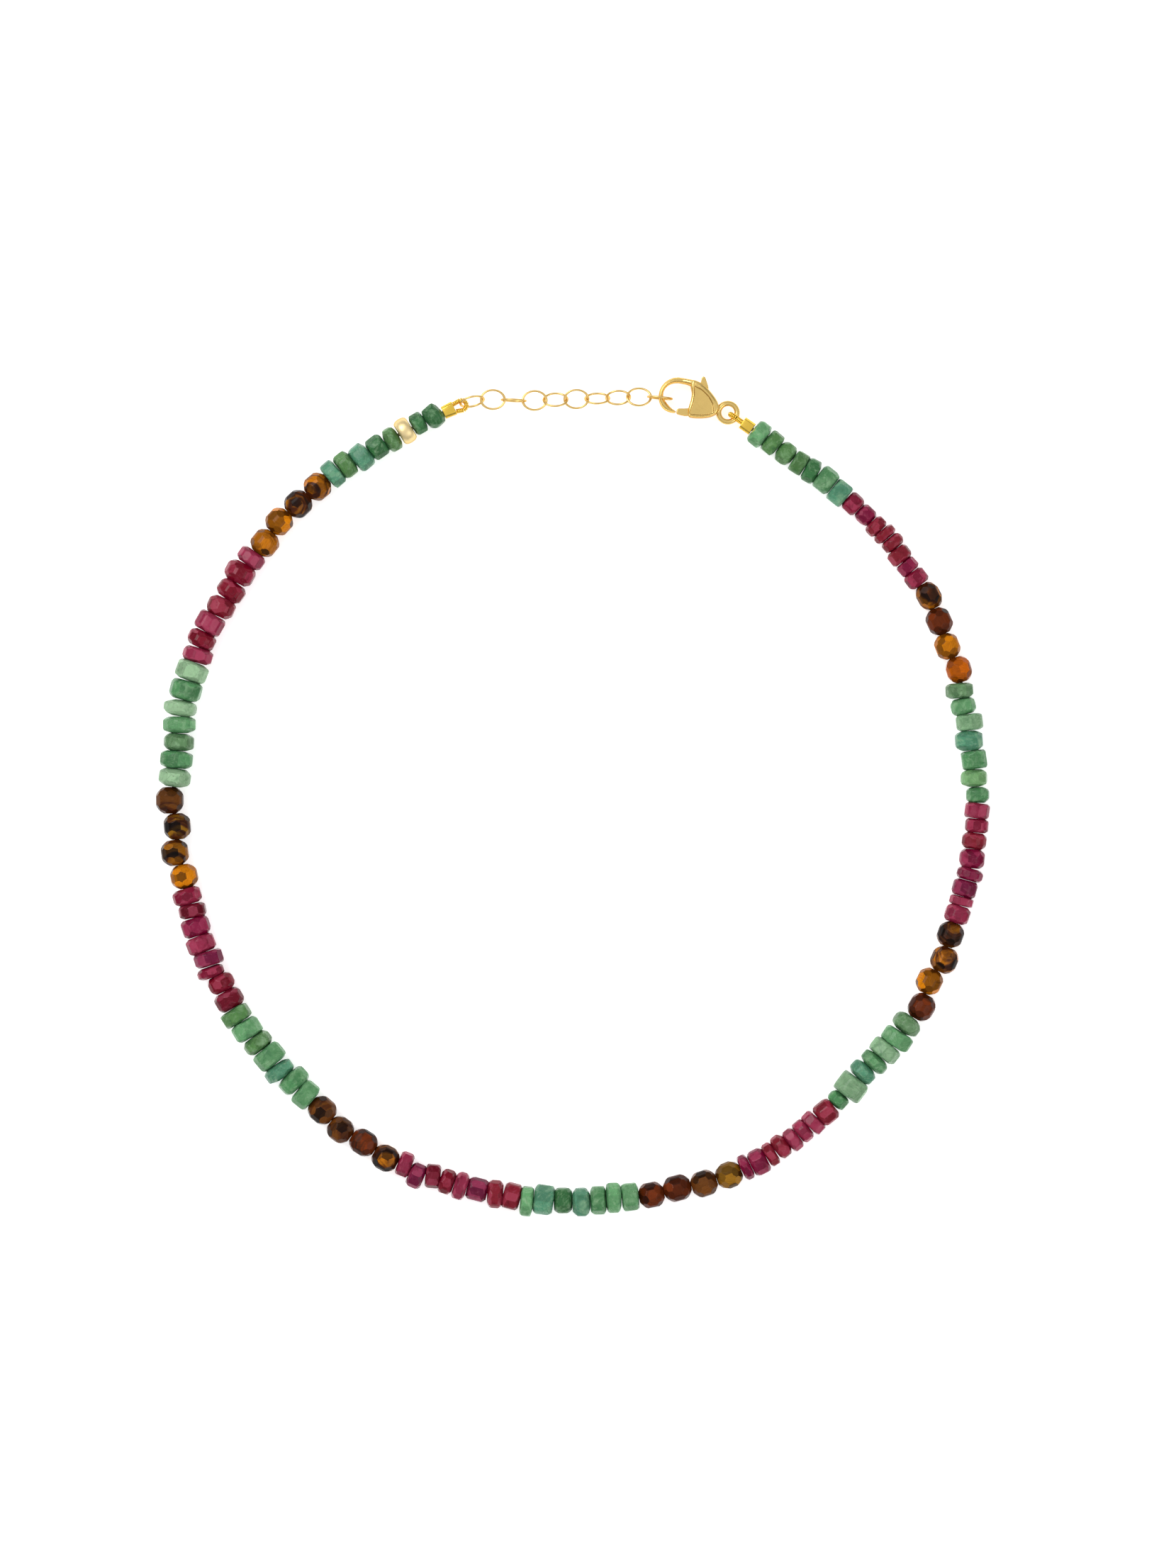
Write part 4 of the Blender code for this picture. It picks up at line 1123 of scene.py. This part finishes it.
def make_guards(route, right_face, left_face, first_link, finish):
    on_edge = Matrix.Rotation(math.pi / 2, 4, "X")
    right = looking(route.point(right_face), route.point(0), CHAIN_HEIGHT) @ on_edge
    half = RIGHT_GUARD_WIDTH / 2
    make_guard("guard_right", right, half, RIGHT_GUARD_ROOT, RIGHT_GUARD_STRAIGHT, half, finish)
    left = looking(route.point(left_face), route.point(first_link), CHAIN_HEIGHT)
    half = LEFT_GUARD_WIDTH / 2
    make_guard("guard_left", left, half, LEFT_GUARD_ROOT, LEFT_GUARD_REACH - half, half, finish)


def make_crimp(name, base, flare, finish):
    """A tube pressed flat, with wide sloping shoulders along it."""
    bpy.ops.mesh.primitive_cube_add(size=1.0)
    crimp = added(f"pressed_{name}")
    crimp.scale = (CRIMP_LENGTH, CRIMP_WIDTH, CRIMP_THICKNESS)
    bpy.ops.object.transform_apply()
    editing(True)
    select_points(crimp, lambda co: co.x > 0)
    bpy.ops.transform.resize(value=(1, flare, 1))
    select_edges(crimp, lambda a, b: abs(a.x - b.x) > CRIMP_LENGTH / 2)
    bpy.ops.mesh.bevel(offset=CRIMP_EDGE, segments=1, affect="EDGES")
    select_all()
    bpy.ops.mesh.bevel(offset=CRIMP_ROUNDING, segments=3, affect="EDGES")
    editing(False)
    bpy.ops.object.shade_smooth_by_angle(angle=math.radians(CRIMP_SHARP))
    crimp.data.transform(base)
    dressed(crimp, finish, name)


# The clasp, in its own frame: the ring's middle is the origin, the hook is along +X, the thumb tab is
# towards +Y and the face that shows is towards -Z.


def in_clasp(outline):
    return [Vector((x * CLASP_LENGTH, y * CLASP_LENGTH, 0)) for x, y in outline]


def at_pivot(angle, radius):
    turn = math.radians(angle)
    return in_clasp([PIVOT])[0] + Vector((radius * math.cos(turn), radius * math.sin(turn), 0))


def hub_points(span, radius):
    first, last = span
    steps = max(1, round((last - first) / HUB_STEP))
    return [at_pivot(first + (last - first) * k / steps, radius) for k in range(steps + 1)]


def on_hook(angle):
    """The place of the hook's middle line at an angle of its ellipse, and its heading there."""
    turn = math.radians(angle)
    place = Vector((
        CLASP_LENGTH + HOOK_LENGTH / 2 * (math.cos(turn) - 1),
        HOOK_RISE + HOOK_HEIGHT / 2 * math.sin(turn),
        0,
    ))
    return place, math.atan2(-HOOK_HEIGHT * math.cos(turn), HOOK_LENGTH * math.sin(turn))


def gate_points():
    """The gate's outline, which ends one gap short of the hook's tip."""
    pivot = at_pivot(0, 0)
    tip = on_hook(HOOK_ARC[-1][0])[0] - pivot
    ahead = tip.normalized()
    left = Vector((-ahead.y, ahead.x, 0))
    length = tip.length - GATE_GAP
    return [pivot + ahead * x * length + left * y * length for x, y in GATE_OUTLINE]


def slot_outline():
    """The lever's slot: open to the outside where gate and tab swing, and round the hub elsewhere."""
    reach = CLASP_LENGTH
    gate = (GATE_SECTOR[0] - SECTOR_MARGIN, GATE_SECTOR[1] + LEVER_SWING + SECTOR_MARGIN)
    tab = (TAB_SECTOR[0] - SECTOR_MARGIN, TAB_SECTOR[1] + LEVER_SWING + SECTOR_MARGIN)
    points = []
    for sector, closed in ((gate, (gate[1], tab[0])), (tab, (tab[1], gate[0] + 360))):
        points += [at_pivot(sector[0], reach), at_pivot(sector[1], reach)]
        points += hub_points(closed, HUB_WIDTH / 2 + LEVER_CLEARANCE)
    return points


def round_bar(name, radius, low, high):
    """A bar on the pivot's axis."""
    middle = at_pivot(0, 0) + Vector((0, 0, (low + high) / 2))
    bpy.ops.mesh.primitive_cylinder_add(vertices=32, radius=radius, depth=high - low, location=middle)
    return settled(name)


def hook_arm():
    stations = []
    for x, y, heading in HOOK_ROOT:
        across = headed(in_clasp([(x, y)])[0], math.radians(heading))
        stations.append((across, HOOK_WIRE, HOOK_THICKNESS))
    for angle, width, thickness in HOOK_ARC:
        stations.append((headed(*on_hook(angle)), width * HOOK_WIRE, thickness * HOOK_THICKNESS))
    return bar("hook_arm", stations, BAR_SIDES)


def band(side):
    """The rounded rim on one face, from the hook's arm down to the ring."""
    half = CLASP_THICKNESS / 2
    points = in_clasp([(x, y) for x, y, _, _ in BAND])
    stations = []
    for k, (_, _, width, crest) in enumerate(BAND):
        ahead = points[min(k + 1, len(points) - 1)] - points[max(k - 1, 0)]
        depth = 2 * BAND_DEPTH * crest * half
        middle = points[k] + Vector((0, 0, side * (crest * half - depth / 2)))
        stations.append((headed(middle, math.atan2(ahead.y, ahead.x)), width * HOOK_WIRE, depth))
    return bar("rim_band", stations, BAR_SIDES)


def make_clasp_body(base, finish):
    """One casting: two plates with rounded rims and sunk panels, hook, ring and pin."""
    half = CLASP_THICKNESS / 2
    face = half - PLATE_STEP
    slot = LEVER_THICKNESS / 2 + LEVER_CLEARANCE
    blank = plate("blank", rounded(in_clasp(PLATE_OUTLINE)), -face, face)
    editing(True)
    select_edges(blank, lambda a, b: abs(a.z - b.z) < FINE)
    bpy.ops.mesh.bevel(offset=PLATE_EDGE, segments=3, affect="EDGES")
    editing(False)
    body = united("clasp_plates", [blank, band(1), band(-1)], CASTING_GRAIN)
    for side in (1, -1):
        panel = plate("panel_cut", in_clasp(PANEL_OUTLINE), -PANEL_DEPTH, PANEL_DEPTH)
        panel.data.transform(Matrix.Translation((0, 0, side * face)))
        combine(body, panel, "DIFFERENCE")
    combine(body, plate("slot_cut", slot_outline(), -slot, slot), "DIFFERENCE")
    bpy.ops.mesh.primitive_torus_add(
        major_radius=RING_REACH, minor_radius=RING_WIRE / 2, major_segments=64, minor_segments=24
    )
    ring = added("soldered_ring")
    pin = round_bar("pin", PIVOT_WIDTH / 2, -face + PANEL_DEPTH, face - PANEL_DEPTH)
    body = united("clasp_casting", [body, hook_arm(), ring, pin], CASTING_GRAIN)
    apply(body, "SMOOTH", iterations=CASTING_SMOOTHING)
    bpy.ops.object.shade_smooth()
    body.data.transform(base)
    dressed(body, finish, "clasp_body")


def make_clasp_lever(base, finish):
    """Gate, hub and thumb tab, with rounded edges and grooves on the tab."""
    half = LEVER_THICKNESS / 2
    radius = HUB_WIDTH / 2
    gate_side = hub_points(HUB_BACK, radius) + gate_points()
    tab_side = hub_points(HUB_FRONT, radius) + in_clasp(TAB_OUTLINE)
    blank = plate("blank", rounded(gate_side + tab_side), -half, half)
    lever = united("trigger_lever", [blank], CASTING_GRAIN)
    apply(lever, "SMOOTH", iterations=LEVER_SMOOTHING)
    outer = in_clasp([TAB_OUTLINE[0], TAB_OUTLINE[1]])
    for k in range(GROOVES):
        bpy.ops.mesh.primitive_cylinder_add(
            vertices=14, radius=GROOVE_WIDTH / 2, depth=2 * LEVER_THICKNESS,
            location=outer[0].lerp(outer[1], (k + 1) / (GROOVES + 1)),
        )
        combine(lever, added("groove"), "DIFFERENCE")
    hole = round_bar("hole", PIVOT_WIDTH / 2 + LEVER_CLEARANCE, -CLASP_THICKNESS, CLASP_THICKNESS)
    combine(lever, hole, "DIFFERENCE")
    pick(lever)
    bpy.ops.object.shade_smooth_by_angle(angle=math.radians(SHARP))
    lever.data.transform(base)
    dressed(lever, finish, "clasp_lever", "trigger")


# Light, floor and camera


def make_world():
    """An even white studio: brightest overhead and a little darker near the floor."""
    world = bpy.data.worlds.new("studio")
    bpy.context.scene.world = world
    world.use_nodes = True
    tree = world.node_tree
    place = tree.nodes.new("ShaderNodeTexCoord")
    apart = tree.nodes.new("ShaderNodeSeparateXYZ")
    ramp = tree.nodes.new("ShaderNodeValToRGB")
    low, high = ramp.color_ramp.elements
    low.color = SKY_LOW
    high.color = SKY_HIGH
    high.position = SKY_REACH
    tree.links.new(place.outputs["Generated"], apart.inputs[0])
    tree.links.new(apart.outputs["Z"], ramp.inputs[0])
    tree.links.new(ramp.outputs[0], tree.nodes["Background"].inputs["Color"])
    tree.nodes["Background"].inputs["Strength"].default_value = SKY_STRENGTH


def soft_box(name, place, size, power):
    """A square lamp that faces the necklace."""
    bpy.ops.object.light_add(type="AREA", location=place)
    lamp = bpy.context.active_object
    lamp.name = name
    lamp.data.size = size
    lamp.data.energy = power
    lamp.rotation_mode = "QUATERNION"
    lamp.rotation_quaternion = (-Vector(place)).to_track_quat("-Z", "Y")


def make_floor(height):
    """A plain white floor, bright enough to show no hard shadow."""
    bpy.ops.mesh.primitive_plane_add(size=FLOOR_SIZE, location=(0, 0, height))
    floor = settled("floor")
    finish = Finish("white_floor", Emission_Strength=FLOOR_GLOW)
    finish.set("Base Color", seen((0.93, 0.93, 0.93)))
    finish.set("Emission Color", (1.0, 1.0, 1.0))
    finish.set("Roughness", 0.75)
    floor.data.materials.append(finish.material)
    floor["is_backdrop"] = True


def make_camera():
    """Straight above, as far away as makes the photograph's frame."""
    distance = max(FRAME_WIDTH, FRAME_HEIGHT) * PIXEL * LENS / SENSOR
    bpy.ops.object.camera_add(location=LOOK_AT + Vector((0, 0, distance)), rotation=(0, 0, 0))
    camera = bpy.context.active_object
    camera.data.lens = LENS
    camera.data.sensor_width = SENSOR
    camera.data.clip_start = 0.01
    camera.data.clip_end = 10.0
    bpy.context.scene.camera = camera


# The whole necklace


def make_necklace():
    right_face = RING_REACH + RIGHT_GUARD_STRAIGHT
    groups, strand_end = strand_from(right_face + CRIMP_LENGTH + PIECE_GAP)
    left_crimp = strand_end + PIECE_GAP
    left_face = left_crimp + CRIMP_LENGTH
    links = [left_face + FIRST_LINK + k * LINK_PITCH for k in range(len(LINK_ROLLS))]
    route = Route(links[-1] + LAST_LINK)
    over = Matrix.Rotation(math.pi, 4, "X")
    clasp = looking(route.point(0), route.point(-CLASP_LENGTH), CHAIN_HEIGHT) @ over
    hinge = clasp @ at_pivot(0, 0)
    real = frame["joints"][0]["pos_m"]
    route.shift = Vector((real[0] - hinge.x, real[1] - hinge.y))
    clasp = Matrix.Translation((*route.shift, real[2] - hinge.z)) @ clasp

    finishes = {name: gold_finish(name, *look) for name, look in GOLDS.items()}
    finishes.update({EMERALDS: emerald_finish(), RUBIES: ruby_finish(), TIGERS: tiger_finish()})
    cast, bright = finishes["cast_gold"], finishes["bright_gold"]
    make_strand(groups, route, finishes)
    make_thread(groups, route, strand_end, thread_finish())
    make_crimp("crimp_right", route.frame(right_face + CRIMP_LENGTH / 2, CHAIN_HEIGHT), 1.0, bright)
    make_crimp("crimp_left", route.frame(left_crimp + CRIMP_LENGTH / 2, CHAIN_HEIGHT), CRIMP_FLARE, bright)
    make_guards(route, right_face, left_face, links[0], bright)
    make_links(links, route, finishes["chain_gold"])
    make_clasp_body(clasp, cast)
    make_clasp_lever(clasp, cast)


deselect()
make_necklace()
make_world()
for lamp_name, lamp_values in LAMPS.items():
    soft_box(lamp_name, *lamp_values)
make_floor(min(0.0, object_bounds()[0].z))
make_camera()
bpy.context.scene.view_settings.view_transform = "Standard"
